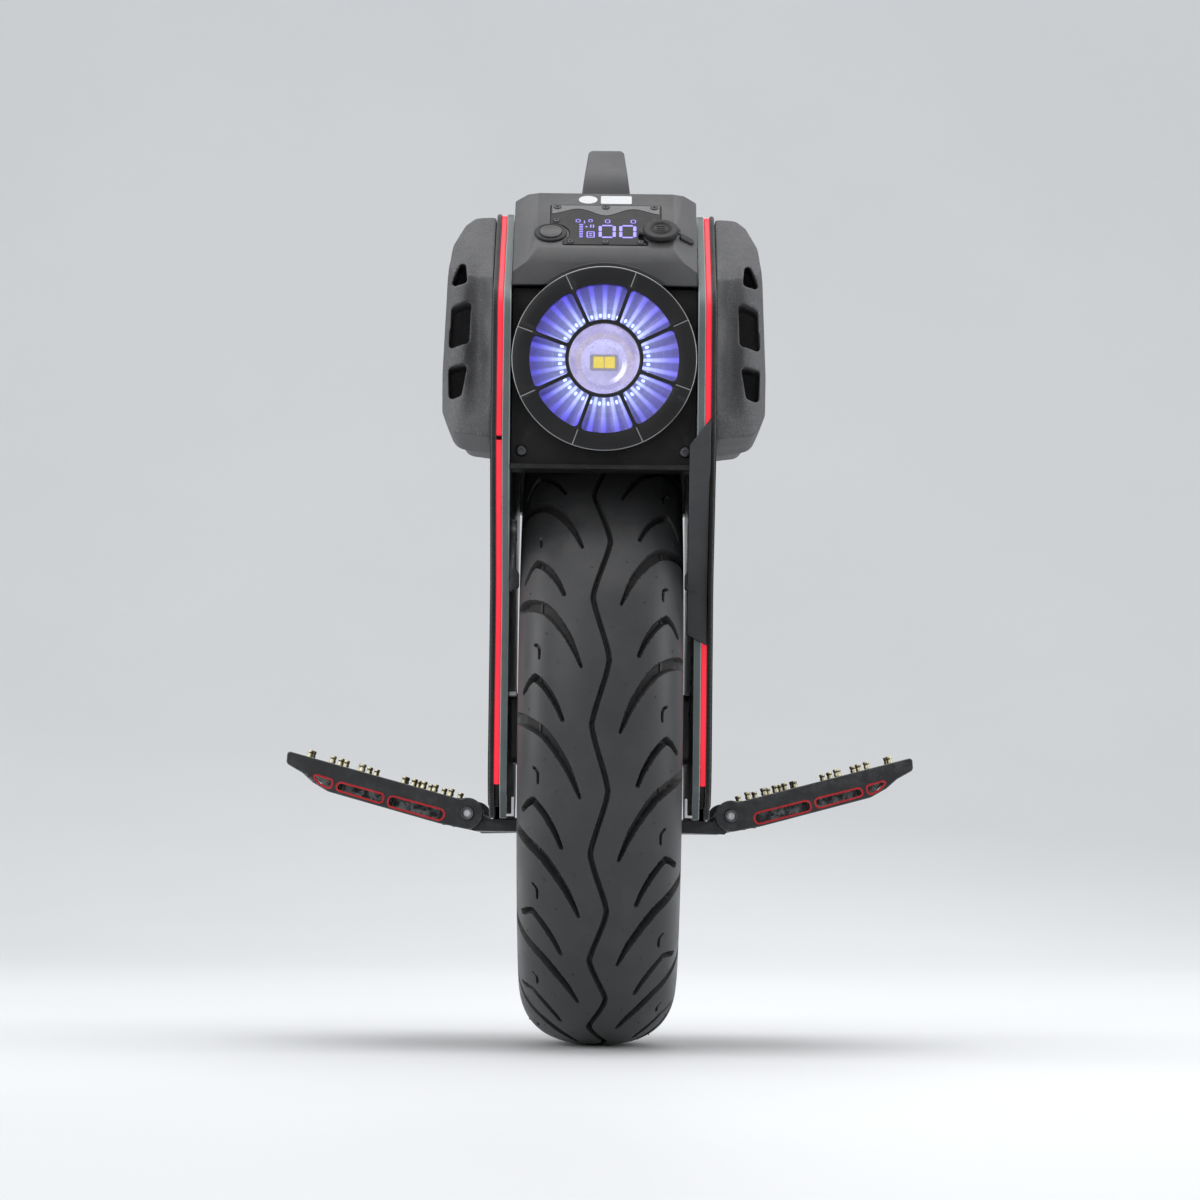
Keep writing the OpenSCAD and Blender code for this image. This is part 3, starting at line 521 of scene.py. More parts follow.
def build_grain_group():
    """Fine moulded grain: a height, and the specks that catch the light."""
    tree, given, out = shader_group("grain", [("Scale", FLOAT, 900.0),
        ("Coarse Share", FLOAT, 0.3)], [("Height", FLOAT), ("Specks", FLOAT)])
    fine = noise(tree, given["Scale"], 2, 0.6)
    cells = add_node(tree, "ShaderNodeTexVoronoi", feature="F1")
    link(tree, object_place(tree), cells.inputs["Vector"])
    link(tree, math_node(tree, "MULTIPLY", given["Scale"], 0.6), cells.inputs["Scale"])
    coarse = math_node(tree, "MULTIPLY", cells.outputs["Distance"], given["Coarse Share"])
    link(tree, math_node(tree, "ADD", fine, coarse), out["Height"])
    link(tree, ramp(tree, fine, 0.56, 0.72), out["Specks"])


def build_wear_group():
    """Rubbed edges and small scuffs, as masks."""
    tree, given, out = shader_group("wear", [("Edge", FLOAT, 0.5), ("Scuff", FLOAT, 0.3)],
        [("Edges", FLOAT), ("Scuffs", FLOAT)])
    shape = add_node(tree, "ShaderNodeNewGeometry")
    ragged = noise(tree, 160.0, 6, 0.7)
    high = ramp(tree, shape.outputs["Pointiness"], 0.53, 0.62)
    edges = math_node(tree, "MULTIPLY", high, ramp(tree, ragged, 0.42, 0.62))
    link(tree, math_node(tree, "MULTIPLY", edges, given["Edge"], True), out["Edges"])
    stretch = add_node(tree, "ShaderNodeMapping")
    stretch.inputs["Scale"].default_value = (1.0, 0.12, 1.0)
    stretch.inputs["Rotation"].default_value = (0.5, 0.3, 0.7)
    link(tree, object_place(tree), stretch.inputs["Vector"])
    lines = ramp(tree, noise(tree, 420.0, 3, 0.5, stretch.outputs[0]), 0.66, 0.74)
    patches = ramp(tree, noise(tree, 14.0, 3, 0.5), 0.5, 0.7)
    scuffs = math_node(tree, "MULTIPLY", lines, patches)
    link(tree, math_node(tree, "MULTIPLY", scuffs, given["Scuff"], True), out["Scuffs"])


def build_dust_group():
    """Fine dust that settles on what faces up."""
    tree, given, out = shader_group("dust", [("Color", COLOR, (0.1, 0.1, 0.1, 1)),
        ("Amount", FLOAT, 0.1)], [("Color", COLOR), ("Mask", FLOAT)])
    shape = add_node(tree, "ShaderNodeNewGeometry")
    split = add_node(tree, "ShaderNodeSeparateXYZ")
    link(tree, shape.outputs["Normal"], split.inputs[0])
    up = ramp(tree, split.outputs["Z"], 0.1, 1.0, 0.25, 1.0)
    cloud = ramp(tree, noise(tree, 45.0, 7, 0.65), 0.38, 0.75)
    mask = math_node(tree, "MULTIPLY", math_node(tree, "MULTIPLY", up, cloud),
        given["Amount"], True)
    link(tree, mix_color(tree, mask, given["Color"], (0.32, 0.3, 0.27)), out["Color"])
    link(tree, mask, out["Mask"])


def build_brush_group():
    """Short parallel scratches of brushed or turned metal."""
    tree, given, out = shader_group("brushed", [("Scale", FLOAT, 300.0)], [("Height", FLOAT)])
    stretch = add_node(tree, "ShaderNodeMapping")
    stretch.inputs["Scale"].default_value = (1.0, 0.03, 1.0)
    link(tree, object_place(tree), stretch.inputs["Vector"])
    link(tree, noise(tree, given["Scale"], 4, 0.7, stretch.outputs[0]), out["Height"])


def build_weave_group():
    """A fine knitted face with loose fibres on it."""
    tree, given, out = shader_group("knit", [("Scale", FLOAT, 700.0)],
        [("Height", FLOAT), ("Fibres", FLOAT)])
    split = add_node(tree, "ShaderNodeSeparateXYZ")
    link(tree, object_place(tree), split.inputs[0])
    rows = [math_node(tree, "SINE", math_node(tree, "MULTIPLY", split.outputs[axis],
        given["Scale"]), 0) for axis in ("Y", "Z")]
    stitch = math_node(tree, "MULTIPLY", rows[0], rows[1])
    fuzz = noise(tree, 2600.0, 3, 0.7)
    link(tree, math_node(tree, "ADD", math_node(tree, "MULTIPLY", stitch, 0.5), fuzz),
        out["Height"])
    link(tree, ramp(tree, fuzz, 0.58, 0.75), out["Fibres"])


def build_shader_groups():
    """Builds every shader group once."""
    build_mottle_group()
    build_grain_group()
    build_wear_group()
    build_dust_group()
    build_brush_group()
    build_weave_group()


def place_group(tree, name, **values):
    """Adds a shader group by name, with values or sockets for its inputs."""
    made = add_node(tree, "ShaderNodeGroup")
    made.node_tree = bpy.data.node_groups[name]
    for key, value in values.items():
        socket = made.inputs[key.replace("_", " ").title()]
        if isinstance(value, bpy.types.NodeSocket):
            link(tree, value, socket)
        elif isinstance(value, (int, float)):
            socket.default_value = value
        else:
            socket.default_value = (*value[:3], 1)
    return made.outputs


def start_material(name, **constants):
    """A material with a Principled shader, whose plain values are set on its own sockets."""
    material = bpy.data.materials.new(name)
    material.use_nodes = True
    tree = material.node_tree
    shader = tree.nodes["Principled BSDF"]
    for key, value in constants.items():
        socket = shader.inputs[key.replace("_", " ").title().replace("Ior", "IOR")]
        socket.default_value = (*value, 1) if isinstance(value, tuple) else value
    return material, tree, shader


def bump(tree, shader, height, strength, distance):
    """Lets a height raise a shader's surface."""
    made = add_node(tree, "ShaderNodeBump")
    made.inputs["Strength"].default_value = strength
    made.inputs["Distance"].default_value = distance
    link(tree, height, made.inputs["Height"])
    link(tree, made.outputs[0], shader.inputs["Normal"])


def surface(name, color, roughness, grain_scale=900.0, grain_depth=0.05 * MM, mottle=0.25,
        edge=0.5, scuff=0.35, dust=0.1, edge_color=(0.3, 0.3, 0.31), spread=0.12, **constants):
    """A moulded, painted or cast surface: tone, grain, rubbed edges, scuffs and dust."""
    material, tree, shader = start_material(name, **constants)
    tone = place_group(tree, "mottle", color=color, scale=38.0, amount=mottle)
    grain = place_group(tree, "grain", scale=grain_scale)
    worn = place_group(tree, "wear", edge=edge, scuff=scuff)
    rubbed = mix_color(tree, worn["Edges"], tone["Color"], edge_color)
    marked = mix_color(tree, math_node(tree, "MULTIPLY", worn["Scuffs"], 0.5), rubbed,
        edge_color)
    dusty = place_group(tree, "dust", color=marked, amount=dust)
    link(tree, dusty["Color"], shader.inputs["Base Color"])
    rough = math_node(tree, "ADD", roughness - spread / 2,
        math_node(tree, "MULTIPLY", tone["Mask"], spread))
    rough = math_node(tree, "ADD", rough, math_node(tree, "MULTIPLY", dusty["Mask"], 0.3))
    rough = math_node(tree, "SUBTRACT", rough, math_node(tree, "MULTIPLY", grain["Specks"],
        0.06), True)
    link(tree, rough, shader.inputs["Roughness"])
    bump(tree, shader, grain["Height"], 0.6, grain_depth)
    return material


# ---- finishes ----
def tyre_finish(look):
    """Satin rubber: mould marks, scuffed tread, a little dust, and painted shade darkening its
    rougher grooves.
    """
    material, tree, shader = start_material("tyre_rubber_finish", specular_ior_level=0.45,
        sheen_weight=0.05)
    tone = place_group(tree, "mottle", color=look.rubber, scale=22.0, amount=0.3)
    grain = place_group(tree, "grain", scale=1500.0, coarse_share=0.15)
    worn = place_group(tree, "wear", edge=0.5, scuff=0.5)
    pale = mix_color(tree, worn["Edges"], tone["Color"], (0.09, 0.09, 0.092))
    # Painted shade: the grooves are darkened towards black by their depth, and made rougher.
    groove = add_node(tree, "ShaderNodeAttribute", attribute_name="groove")
    groove_shade = mix_color(tree, math_node(tree, "MULTIPLY", groove.outputs["Fac"], 0.8), pale,
        (0.004, 0.004, 0.0045))
    dusty = place_group(tree, "dust", color=groove_shade, amount=0.07)
    link(tree, dusty["Color"], shader.inputs["Base Color"])
    rough = math_node(tree, "ADD", 0.36, math_node(tree, "MULTIPLY", tone["Mask"], 0.14))
    rough = math_node(tree, "ADD", rough, math_node(tree, "MULTIPLY", worn["Scuffs"], 0.2))
    rough = math_node(tree, "ADD", rough,
        math_node(tree, "MULTIPLY", groove.outputs["Fac"], 0.25), True)
    link(tree, rough, shader.inputs["Roughness"])
    bump(tree, shader, grain["Height"], 0.5, 0.05 * MM)
    return material


def pad_finish(look):
    """Moulded grey rubber with a pebbled skin and pale specks."""
    material, tree, shader = start_material("pad_rubber_finish", specular_ior_level=0.35)
    tone = place_group(tree, "mottle", color=look.pad, scale=26.0, amount=0.35)
    grain = place_group(tree, "grain", scale=620.0, coarse_share=0.7)
    flecks = ramp(tree, noise(tree, 1300.0, 3, 0.7), 0.55, 0.68)
    pale = mix_color(tree, math_node(tree, "MULTIPLY", flecks, 0.5), tone["Color"],
        (0.3, 0.3, 0.31))
    dark = ramp(tree, noise(tree, 900.0, 2, 0.6), 0.6, 0.72)
    spotted = mix_color(tree, math_node(tree, "MULTIPLY", dark, 0.45), pale,
        (0.03, 0.03, 0.031))
    dusty = place_group(tree, "dust", color=spotted, amount=0.12)
    link(tree, dusty["Color"], shader.inputs["Base Color"])
    rough = math_node(tree, "ADD", 0.6, math_node(tree, "MULTIPLY", tone["Mask"], 0.15))
    link(tree, rough, shader.inputs["Roughness"])
    bump(tree, shader, grain["Height"], 0.8, 0.35 * MM)
    return material


def foam_finish():
    """Black knitted foam with loose fibres."""
    material, tree, shader = start_material("side_foam_finish", sheen_weight=0.35,
        sheen_roughness=0.5, specular_ior_level=0.2)
    knit = place_group(tree, "knit", scale=1900.0)
    tone = place_group(tree, "mottle", color=(0.014, 0.016, 0.016), scale=30.0, amount=0.5)
    lint = mix_color(tree, math_node(tree, "MULTIPLY", knit["Fibres"], 0.35), tone["Color"],
        (0.06, 0.075, 0.072))
    dusty = place_group(tree, "dust", color=lint, amount=0.1)
    link(tree, dusty["Color"], shader.inputs["Base Color"])
    rough = math_node(tree, "ADD", 0.82, math_node(tree, "MULTIPLY", tone["Mask"], 0.1))
    link(tree, rough, shader.inputs["Roughness"])
    bump(tree, shader, knit["Height"], 0.8, 0.25 * MM)
    return material


def metal(name, color, roughness, mottle=0.15, edge=0.2):
    """Bare turned or brushed metal."""
    material, tree, shader = start_material(name, metallic=1.0)
    tone = place_group(tree, "mottle", color=color, scale=60.0, amount=mottle)
    brush = place_group(tree, "brushed", scale=500.0)
    worn = place_group(tree, "wear", edge=edge, scuff=0.4)
    pale = [min(1, part * 1.4) for part in color]
    link(tree, mix_color(tree, worn["Edges"], tone["Color"], pale),
        shader.inputs["Base Color"])
    rough = math_node(tree, "ADD", roughness, math_node(tree, "MULTIPLY", tone["Mask"], 0.12))
    rough = math_node(tree, "ADD", rough, math_node(tree, "MULTIPLY", worn["Scuffs"], 0.15),
        True)
    link(tree, rough, shader.inputs["Roughness"])
    bump(tree, shader, brush["Height"], 0.5, 0.03 * MM)
    return material


def gloss_finish():
    """Black glossy window with faint smudges."""
    material, tree, shader = start_material("black_gloss_finish", specular_ior_level=0.14)
    tone = place_group(tree, "mottle", color=(0.006, 0.006, 0.008), scale=24.0, amount=0.4)
    dusty = place_group(tree, "dust", color=tone["Color"], amount=0.05)
    link(tree, dusty["Color"], shader.inputs["Base Color"])
    smear = ramp(tree, noise(tree, 55.0, 4, 0.6), 0.4, 0.75)
    link(tree, math_node(tree, "ADD", 0.07, math_node(tree, "MULTIPLY", smear, 0.16)),
        shader.inputs["Roughness"])
    return material


def lit(name, color, strength, base=(0.02, 0.02, 0.02), swing=0.25, scale=60.0):
    """A lit surface whose brightness changes a little over its length."""
    material, tree, shader = start_material(name, roughness=0.35,
        emission_strength=strength)
    tone = place_group(tree, "mottle", color=color, scale=scale, amount=swing)
    link(tree, tone["Color"], shader.inputs["Emission Color"])
    link(tree, mix_color(tree, 0.15, base, tone["Color"]), shader.inputs["Base Color"])
    return material


def light_guide_finish(look):
    """The lamp's ribbed light guide: rays from each source, brightest at its foot."""
    material, tree, shader = start_material("light_guide_finish", roughness=0.22,
        emission_strength=look.brightness, coat_weight=0.6, coat_roughness=0.08)
    centre = add_node(tree, "ShaderNodeMapping")
    centre.inputs["Location"].default_value = (0, 0, -LAMP_Z)
    link(tree, object_place(tree), centre.inputs["Vector"])
    split = add_node(tree, "ShaderNodeSeparateXYZ")
    link(tree, centre.outputs[0], split.inputs[0])
    x, z = split.outputs["X"], split.outputs["Z"]
    squares = math_node(tree, "ADD", math_node(tree, "MULTIPLY", x, x),
        math_node(tree, "MULTIPLY", z, z))
    radius = math_node(tree, "SQRT", squares, 0)
    angle = math_node(tree, "ARCTAN2", z, x)
    wave = math_node(tree, "COSINE", math_node(tree, "MULTIPLY", angle, look.led_count), 0)
    ray = ramp(tree, wave, -0.1, 0.95)
    low, high = RING_OUT_R, WINDOW_R
    out = ramp(tree, radius, low, high)
    foot = ramp(tree, radius, low + 1.5 * MM, low + 6.5 * MM, 1.0, 0.0)
    cloud = ramp(tree, noise(tree, 38.0, 3, 0.6), 0.3, 0.7, 0.45, 1.0)
    streak = math_node(tree, "MULTIPLY", ray, cloud)
    arcs = math_node(tree, "COSINE", math_node(tree, "MULTIPLY", radius, TAU / (4.6 * MM)), 0)
    rings = math_node(tree, "MULTIPLY", ramp(tree, arcs, 0.86, 1.0), 0.1)
    haze = math_node(tree, "MULTIPLY", cloud, 0.2)
    body = math_node(tree, "ADD", math_node(tree, "MULTIPLY", streak, 0.9), haze)
    body = math_node(tree, "ADD", body, rings)
    pale = mix_color(tree, ramp(tree, radius, low, high), look.spot, look.glow)
    side = ramp(tree, x, -0.03, 0.05)
    tinted = mix_color(tree, math_node(tree, "MULTIPLY", side, 0.35), pale,
        (0.42, 0.42, 1.0))
    shade = math_node(tree, "MULTIPLY", body, ramp(tree, out, 0.0, 1.0, 1.0, 0.6))
    shade = math_node(tree, "ADD", shade, math_node(tree, "MULTIPLY", foot,
        math_node(tree, "MULTIPLY", ray, 0.55)))
    glow = mix_color(tree, shade, (0.004, 0.003, 0.02), tinted)
    link(tree, glow, shader.inputs["Emission Color"])
    link(tree, mix_color(tree, 0.5, (0.12, 0.11, 0.25), tinted), shader.inputs["Base Color"])
    bump(tree, shader, wave, 0.5, 0.4 * MM)
    return material


def bowl_finish():
    """The lamp's pearly reflector bowl."""
    material, tree, shader = start_material("reflector_finish", metallic=0.55,
        emission_strength=0.5)
    tone = place_group(tree, "mottle", color=(0.62, 0.6, 0.8), scale=55.0, amount=0.5)
    link(tree, tone["Color"], shader.inputs["Base Color"])
    link(tree, mix_color(tree, 0.5, (0.2, 0.18, 0.5), tone["Color"]),
        shader.inputs["Emission Color"])
    link(tree, math_node(tree, "ADD", 0.16, math_node(tree, "MULTIPLY", tone["Mask"], 0.2)),
        shader.inputs["Roughness"])
    return material


def glass_finish():
    """The lamp's clear lens, with a trace of haze."""
    material, tree, shader = start_material("clear_lens_finish", transmission_weight=1.0,
        ior=1.3)
    tone = place_group(tree, "mottle", color=(0.95, 0.95, 1.0), scale=20.0, amount=0.03)
    link(tree, tone["Color"], shader.inputs["Base Color"])
    link(tree, math_node(tree, "ADD", 0.02, math_node(tree, "MULTIPLY", tone["Mask"], 0.02)),
        shader.inputs["Roughness"])
    return material


def label_finish():
    """White label film with a faint sheen."""
    return surface("label_finish", (0.58, 0.59, 0.6), 0.3, grain_depth=0.01 * MM, mottle=0.06,
        edge=0.0, scuff=0.1, dust=0.04)


def build_finishes(scene):
    """Builds every finish once, by name."""
    body, lamp, tyre = scene.unicycle_body, scene.unicycle_lamp, scene.unicycle_tyre
    return {
        "tyre_rubber": tyre_finish(tyre),
        "pad_rubber": pad_finish(body),
        "side_foam": foam_finish(),
        "cover_shell": surface("cover_shell_finish", body.shell, 0.46, grain_scale=1400.0,
            grain_depth=0.09 * MM, mottle=0.14, edge=0.3, dust=0.1,
            edge_color=(0.14, 0.14, 0.145)),
        # Painted light: the cover's facets that face sideways and up get the shell colour
        # lightened, standing for the side lamps falling on them.
        "cover_painted_light_facet": surface("cover_painted_light_facet_finish", [part * 1.55 for part in body.shell],
            0.44, grain_scale=1400.0, grain_depth=0.09 * MM, mottle=0.14, edge=0.3,
            edge_color=(0.18, 0.18, 0.185)),
        # Dark finish: the roof seam and the cover's lower front and rear walls, and painted
        # shade on the cover's downward faces and in the crescent round the lamp's top.
        "cover_dark_and_painted_shade": surface("cover_dark_and_painted_shade_finish", (0.012, 0.012, 0.013), 0.55,
            grain_scale=1400.0, grain_depth=0.08 * MM, mottle=0.2, edge=0.2,
            edge_color=(0.06, 0.06, 0.06)),
        "handle_shell": surface("handle_shell_finish", [part * 1.5 for part in body.shell],
            0.52, grain_scale=1200.0, grain_depth=0.12 * MM, mottle=0.12, edge=0.25,
            edge_color=(0.2, 0.2, 0.2)),
        "plate_metal": surface("plate_metal_finish", body.plate, 0.34, grain_scale=2000.0,
            grain_depth=0.03 * MM, mottle=0.16, edge=0.8, scuff=0.5,
            edge_color=(0.42, 0.45, 0.45), metallic=0.35),
        "black_shell": surface("black_shell_finish", (0.004, 0.004, 0.0043), 0.5,
            grain_scale=1300.0, grain_depth=0.1 * MM, edge=0.35, specular_ior_level=0.3,
            edge_color=(0.04, 0.04, 0.041)),
        "cable_shell": surface("cable_shell_finish", (0.022, 0.023, 0.026), 0.45,
            grain_scale=1600.0, grain_depth=0.05 * MM, edge=0.4,
            edge_color=(0.1, 0.1, 0.1)),
        "black_trim": surface("black_trim_finish", (0.006, 0.006, 0.0066), 0.38,
            grain_scale=1800.0, grain_depth=0.04 * MM, edge=0.3, dust=0.02,
            specular_ior_level=0.3, edge_color=(0.08, 0.08, 0.085)),
        "button_cap": surface("button_cap_finish", (0.035, 0.035, 0.037), 0.4,
            grain_scale=1800.0, grain_depth=0.03 * MM, edge=0.3),
        "cable_rubber": surface("cable_rubber_finish", (0.013, 0.013, 0.014), 0.6,
            grain_scale=1500.0, grain_depth=0.08 * MM, edge=0.15, dust=0.06,
            edge_color=(0.06, 0.06, 0.06)),
        "pedal_metal": surface("pedal_metal_finish", (0.016, 0.016, 0.018), 0.33,
            grain_scale=1500.0, grain_depth=0.06 * MM, edge=0.7, scuff=0.6,
            edge_color=(0.3, 0.31, 0.31), metallic=0.3),
        "red_edge": surface("red_edge_finish", (0.4, 0.01, 0.014), 0.34,
            grain_scale=1800.0, grain_depth=0.03 * MM, edge=0.3, scuff=0.4, dust=0.04,
            edge_color=(0.5, 0.06, 0.06), metallic=0.4),
        # Lighter finish for the pedals' rounded edges: partly rubbed metal, partly a painted
        # highlight.
        "pedal_rim_worn_and_highlit": surface("pedal_rim_worn_and_highlit_finish", (0.07, 0.074, 0.074), 0.3,
            grain_scale=1500.0, grain_depth=0.04 * MM, edge=0.4, scuff=0.6,
            edge_color=(0.3, 0.31, 0.31), metallic=0.5),
        # Lighter finish for the plates' rounded edges: partly worn metal, partly a painted
        # highlight.
        "plate_rim_worn_and_highlit": surface("plate_rim_worn_and_highlit_finish", (0.26, 0.29, 0.29), 0.3,
            grain_scale=2000.0, grain_depth=0.02 * MM, edge=0.3, metallic=0.5),
        "dark_cast": surface("dark_cast_finish", (0.03, 0.03, 0.032), 0.42,
            grain_scale=800.0, grain_depth=0.15 * MM, edge=0.6, metallic=0.5),
        "cast_block": surface("cast_block_finish", (0.25, 0.25, 0.26), 0.45,
            grain_scale=700.0, grain_depth=0.15 * MM, edge=0.5, metallic=0.9),
        "battery_wrap": surface("battery_wrap_finish", (0.02, 0.06, 0.25), 0.3,
            grain_scale=500.0, mottle=0.3),
        "circuit_board": surface("circuit_board_finish", (0.01, 0.1, 0.04), 0.35,
            grain_scale=600.0, mottle=0.4),
        "label": label_finish(),
        "black_gloss": gloss_finish(),
        "wave_band": surface("wave_band_finish", (0.085, 0.085, 0.088), 0.3,
            grain_depth=0.02 * MM, edge=0.1, dust=0.06),
        "bare_steel": metal("bare_steel_finish", (0.55, 0.55, 0.57), 0.26),
        "dark_screws": metal("dark_screws_finish", (0.09, 0.09, 0.095), 0.36, edge=0.7),
        "stud_metal": metal("stud_metal_finish", (0.56, 0.52, 0.36), 0.28, mottle=0.35,
            edge=0.8),
        "brass": metal("brass_finish", (0.6, 0.46, 0.2), 0.28),
        "copper": metal("copper_finish", (0.65, 0.3, 0.12), 0.3),
        "rim_line": metal("rim_line_finish", (0.3, 0.3, 0.31), 0.35),
        "light_guide": light_guide_finish(lamp),
        "bright_reflector": bowl_finish(),
        "clear_lens": glass_finish(),
        "led_chip": lit("led_chip_finish", (1.0, 0.8, 0.12), 0.5, base=(0.7, 0.55, 0.08),
            scale=900.0),
        "led_spot": lit("led_spot_finish", (0.5, 0.62, 1.0), 2.6, scale=300.0),
        "red_light": lit("red_light_finish", body.strip, body.strip_glow,
            base=(0.2, 0.004, 0.008), swing=0.3, scale=18.0),
        "red_lens": lit("red_lens_finish", (0.6, 0.01, 0.015), 0.12, base=(0.35, 0.008, 0.01),
            swing=0.5, scale=40.0),
        "digit": lit("digit_finish", (0.3, 0.24, 0.95), 1.25, swing=0.2, scale=200.0),
    }


FINISH_OF_SLOT = {"led_light": "led_chip"}
finishes = {}


def paint(piece, finish, rim=None):
    """Gives a piece one finish, and its rounded edges another one where it is named."""
    faces = np.zeros(len(piece.data.polygons), dtype=np.int32)
    if rim:
        piece.data.polygons.foreach_get("material_index", faces)
    piece.data.materials.clear()
    piece.data.materials.append(finishes[finish])
    if rim:
        piece.data.materials.append(finishes[rim])
    piece.data.polygons.foreach_set("material_index", faces)
    piece.data.update()
    return piece


def paint_frame():
    """Gives every CAD node the finish of its material slot."""
    for name, node in frame["nodes"].items():
        slot = material_slot(name)
        paint(node, FINISH_OF_SLOT.get(slot, slot))


# ---- tyre ----
CROWN_POWER = 2.5
BEAD_R = 127 * MM
CROWN_H = (WHEEL_R - BEAD_R) * 0.56
CROWN_FOOT_R = WHEEL_R - CROWN_H
ROWS_A_PITCH = 72
FINE_STEP = 0.62 * MM
FINE_HALF_W = 9.6 * MM
GROOVE_WALL = 0.95 * MM
SHOULDER_FADE = 9 * MM


def crown_section(count=0):
    """Points along half of the crown, from the centre out: (sideways, radius, length).

    With no count the points are close together round the centre groove.
    """
    angles = np.linspace(math.pi / 2, 0, 2000)
    side = TYRE_HALF_W * np.cos(angles) ** (2 / CROWN_POWER)
    radius = CROWN_FOOT_R + CROWN_H * np.sin(angles) ** (2 / CROWN_POWER)
    side[0], radius[-1] = 0, CROWN_FOOT_R
    length = np.concatenate([[0], np.cumsum(np.hypot(np.diff(side), np.diff(radius)))])
    fine = np.arange(0, FINE_HALF_W, FINE_STEP)
    even = np.concatenate([fine, np.linspace(fine[-1], length[-1], 66)[1:]])
    if count:
        even = np.linspace(0, length[-1], count)
    return np.interp(even, length, side), np.interp(even, length, radius), even


def tread_lines(look):
    """The tread's grooves in one pitch: lists of (share of half width, degrees, width)."""
    pitch = 360 / look.pitch_count
    swing = look.zigzag_swing / TYRE_HALF_W
    zigzag = []
    for k in range(13):
        turn = k / 12 * TAU
        wave = 0.8 * math.asin(0.985 * math.cos(turn)) / (math.pi / 2) + 0.2 * math.cos(turn)
        zigzag.append((swing * wave, 0.54 * pitch + k / 12 * pitch, 3.7 * MM))
    one_side = [
        [(0.995, -0.5, 9.4 * MM), (0.9, 0.2, 9 * MM), (0.66, 2.6, 7.6 * MM),
            (0.43, 7.2, 5.6 * MM), (0.32, 10.4, 4.0 * MM), (0.235, 13.4, 2.2 * MM)],
        [(0.92, 17.2, 4.2 * MM), (0.86, 15.6, 4.6 * MM), (0.79, 14.7, 5.4 * MM)],
        [(0.79, 14.7, 5.4 * MM), (0.66, 16.8, 5.2 * MM), (0.54, 19.6, 4.2 * MM),
            (0.45, 22.6, 2.8 * MM)],
        [(0.8, 8.6, 2.2 * MM), (0.745, 9.4, 2.4 * MM), (0.74, 11.4, 2.0 * MM)],
    ]
    left = [[(-u, turn, w) for u, turn, w in line] for line in one_side]
    right = [[(u, turn + pitch / 2, w) for u, turn, w in line] for line in one_side]
    return [zigzag] + left + right


def smooth_line(line, steps=6):
    """Catmull-Rom points through a groove's line."""
    points = [np.array(p, float) for p in line]
    result = []
    for i in range(len(points) - 1):
        a, b = points[max(i - 1, 0)], points[i]
        c, d = points[i + 1], points[min(i + 2, len(points) - 1)]
        for k in range(steps):
            t = k / steps
            result.append(0.5 * (2 * b + (c - a) * t + (2 * a - 5 * b + 4 * c - d) * t ** 2
                + (3 * b - a - 3 * c + d) * t ** 3))
    return result + [points[-1]]


def groove_distance(across, turn, look, to_length):
    """Signed distance of each point to the nearest groove's edge: below 0 is inside."""
    pitch = 360 / look.pitch_count
    scale = math.radians(1) * WHEEL_R
    best = np.full(across.shape, 1.0)
    for line in tread_lines(look):
        points = smooth_line(line)
        for shift in (-2, -1, 0, 1):
            for first, last in zip(points, points[1:]):
                a = np.array([to_length(first[0]), (first[1] + shift * pitch) * scale])
                b = np.array([to_length(last[0]), (last[1] + shift * pitch) * scale])
                along = b - a
                size = max(along @ along, 1e-12)
                t = np.clip(((across - a[0]) * along[0] + (turn * scale - a[1]) * along[1])
                    / size, 0, 1)
                gap = np.hypot(across - a[0] - t * along[0], turn * scale - a[1]
                    - t * along[1]) - (first[2] + (last[2] - first[2]) * t) / 2
                best = np.minimum(best, gap)
    return best


def pressed_pitch(look):
    """One pitch of the tread as a fine sheet that is pressed in along its grooves.

    Gives each point's sideways place, radius, turn in degrees, and share of a groove's depth.
    """
    side, radius, length = crown_section()
    side = np.concatenate([-side[:0:-1], side])
    radius = np.concatenate([radius[:0:-1], radius])
    length = np.concatenate([-length[:0:-1], length])

    def to_length(share):
        return float(np.interp(share * TYRE_HALF_W, side, length))

    across, turn = np.meshgrid(length, np.arange(ROWS_A_PITCH) * 360 / look.pitch_count
        / ROWS_A_PITCH)
    scale = math.radians(1) * WHEEL_R
    step = 0.1 * MM
    gap = groove_distance(across, turn, look, to_length)
    slope_a = (groove_distance(across + step, turn, look, to_length) - gap) / step
    slope_t = (groove_distance(across, turn + step / scale, look, to_length) - gap) / step
    # Points close to a groove's edge slide on to it, which keeps the edge crisp.
    near = (np.abs(gap) < FINE_STEP) & (np.abs(across) < length[-1] * 0.985)
    slide = np.where(near, -gap, 0)
    across, turn = across + slide * slope_a, turn + slide * slope_t / scale
    gap = np.where(near, 0, gap)
    depth = np.clip(-gap / GROOVE_WALL, 0, 1)
    fade = np.clip((length[-1] * 0.97 - np.abs(across)) / SHOULDER_FADE, 0, 1)
    groove = depth * depth * (3 - 2 * depth) * fade
    press = look.groove_depth * groove
    x = np.interp(across, length, side)
    r = np.interp(across, length, radius)
    x += press * np.interp(across, length, np.gradient(radius, length))
    r -= press * np.interp(across, length, np.gradient(side, length))
    return x, r, turn, groove


def round_wheel(x, r, angle):
    """Points at sideways places and radii, turned down round the wheel from its front."""
    return np.stack([x, -r * np.cos(angle), WHEEL_R - r * np.sin(angle)], -1)


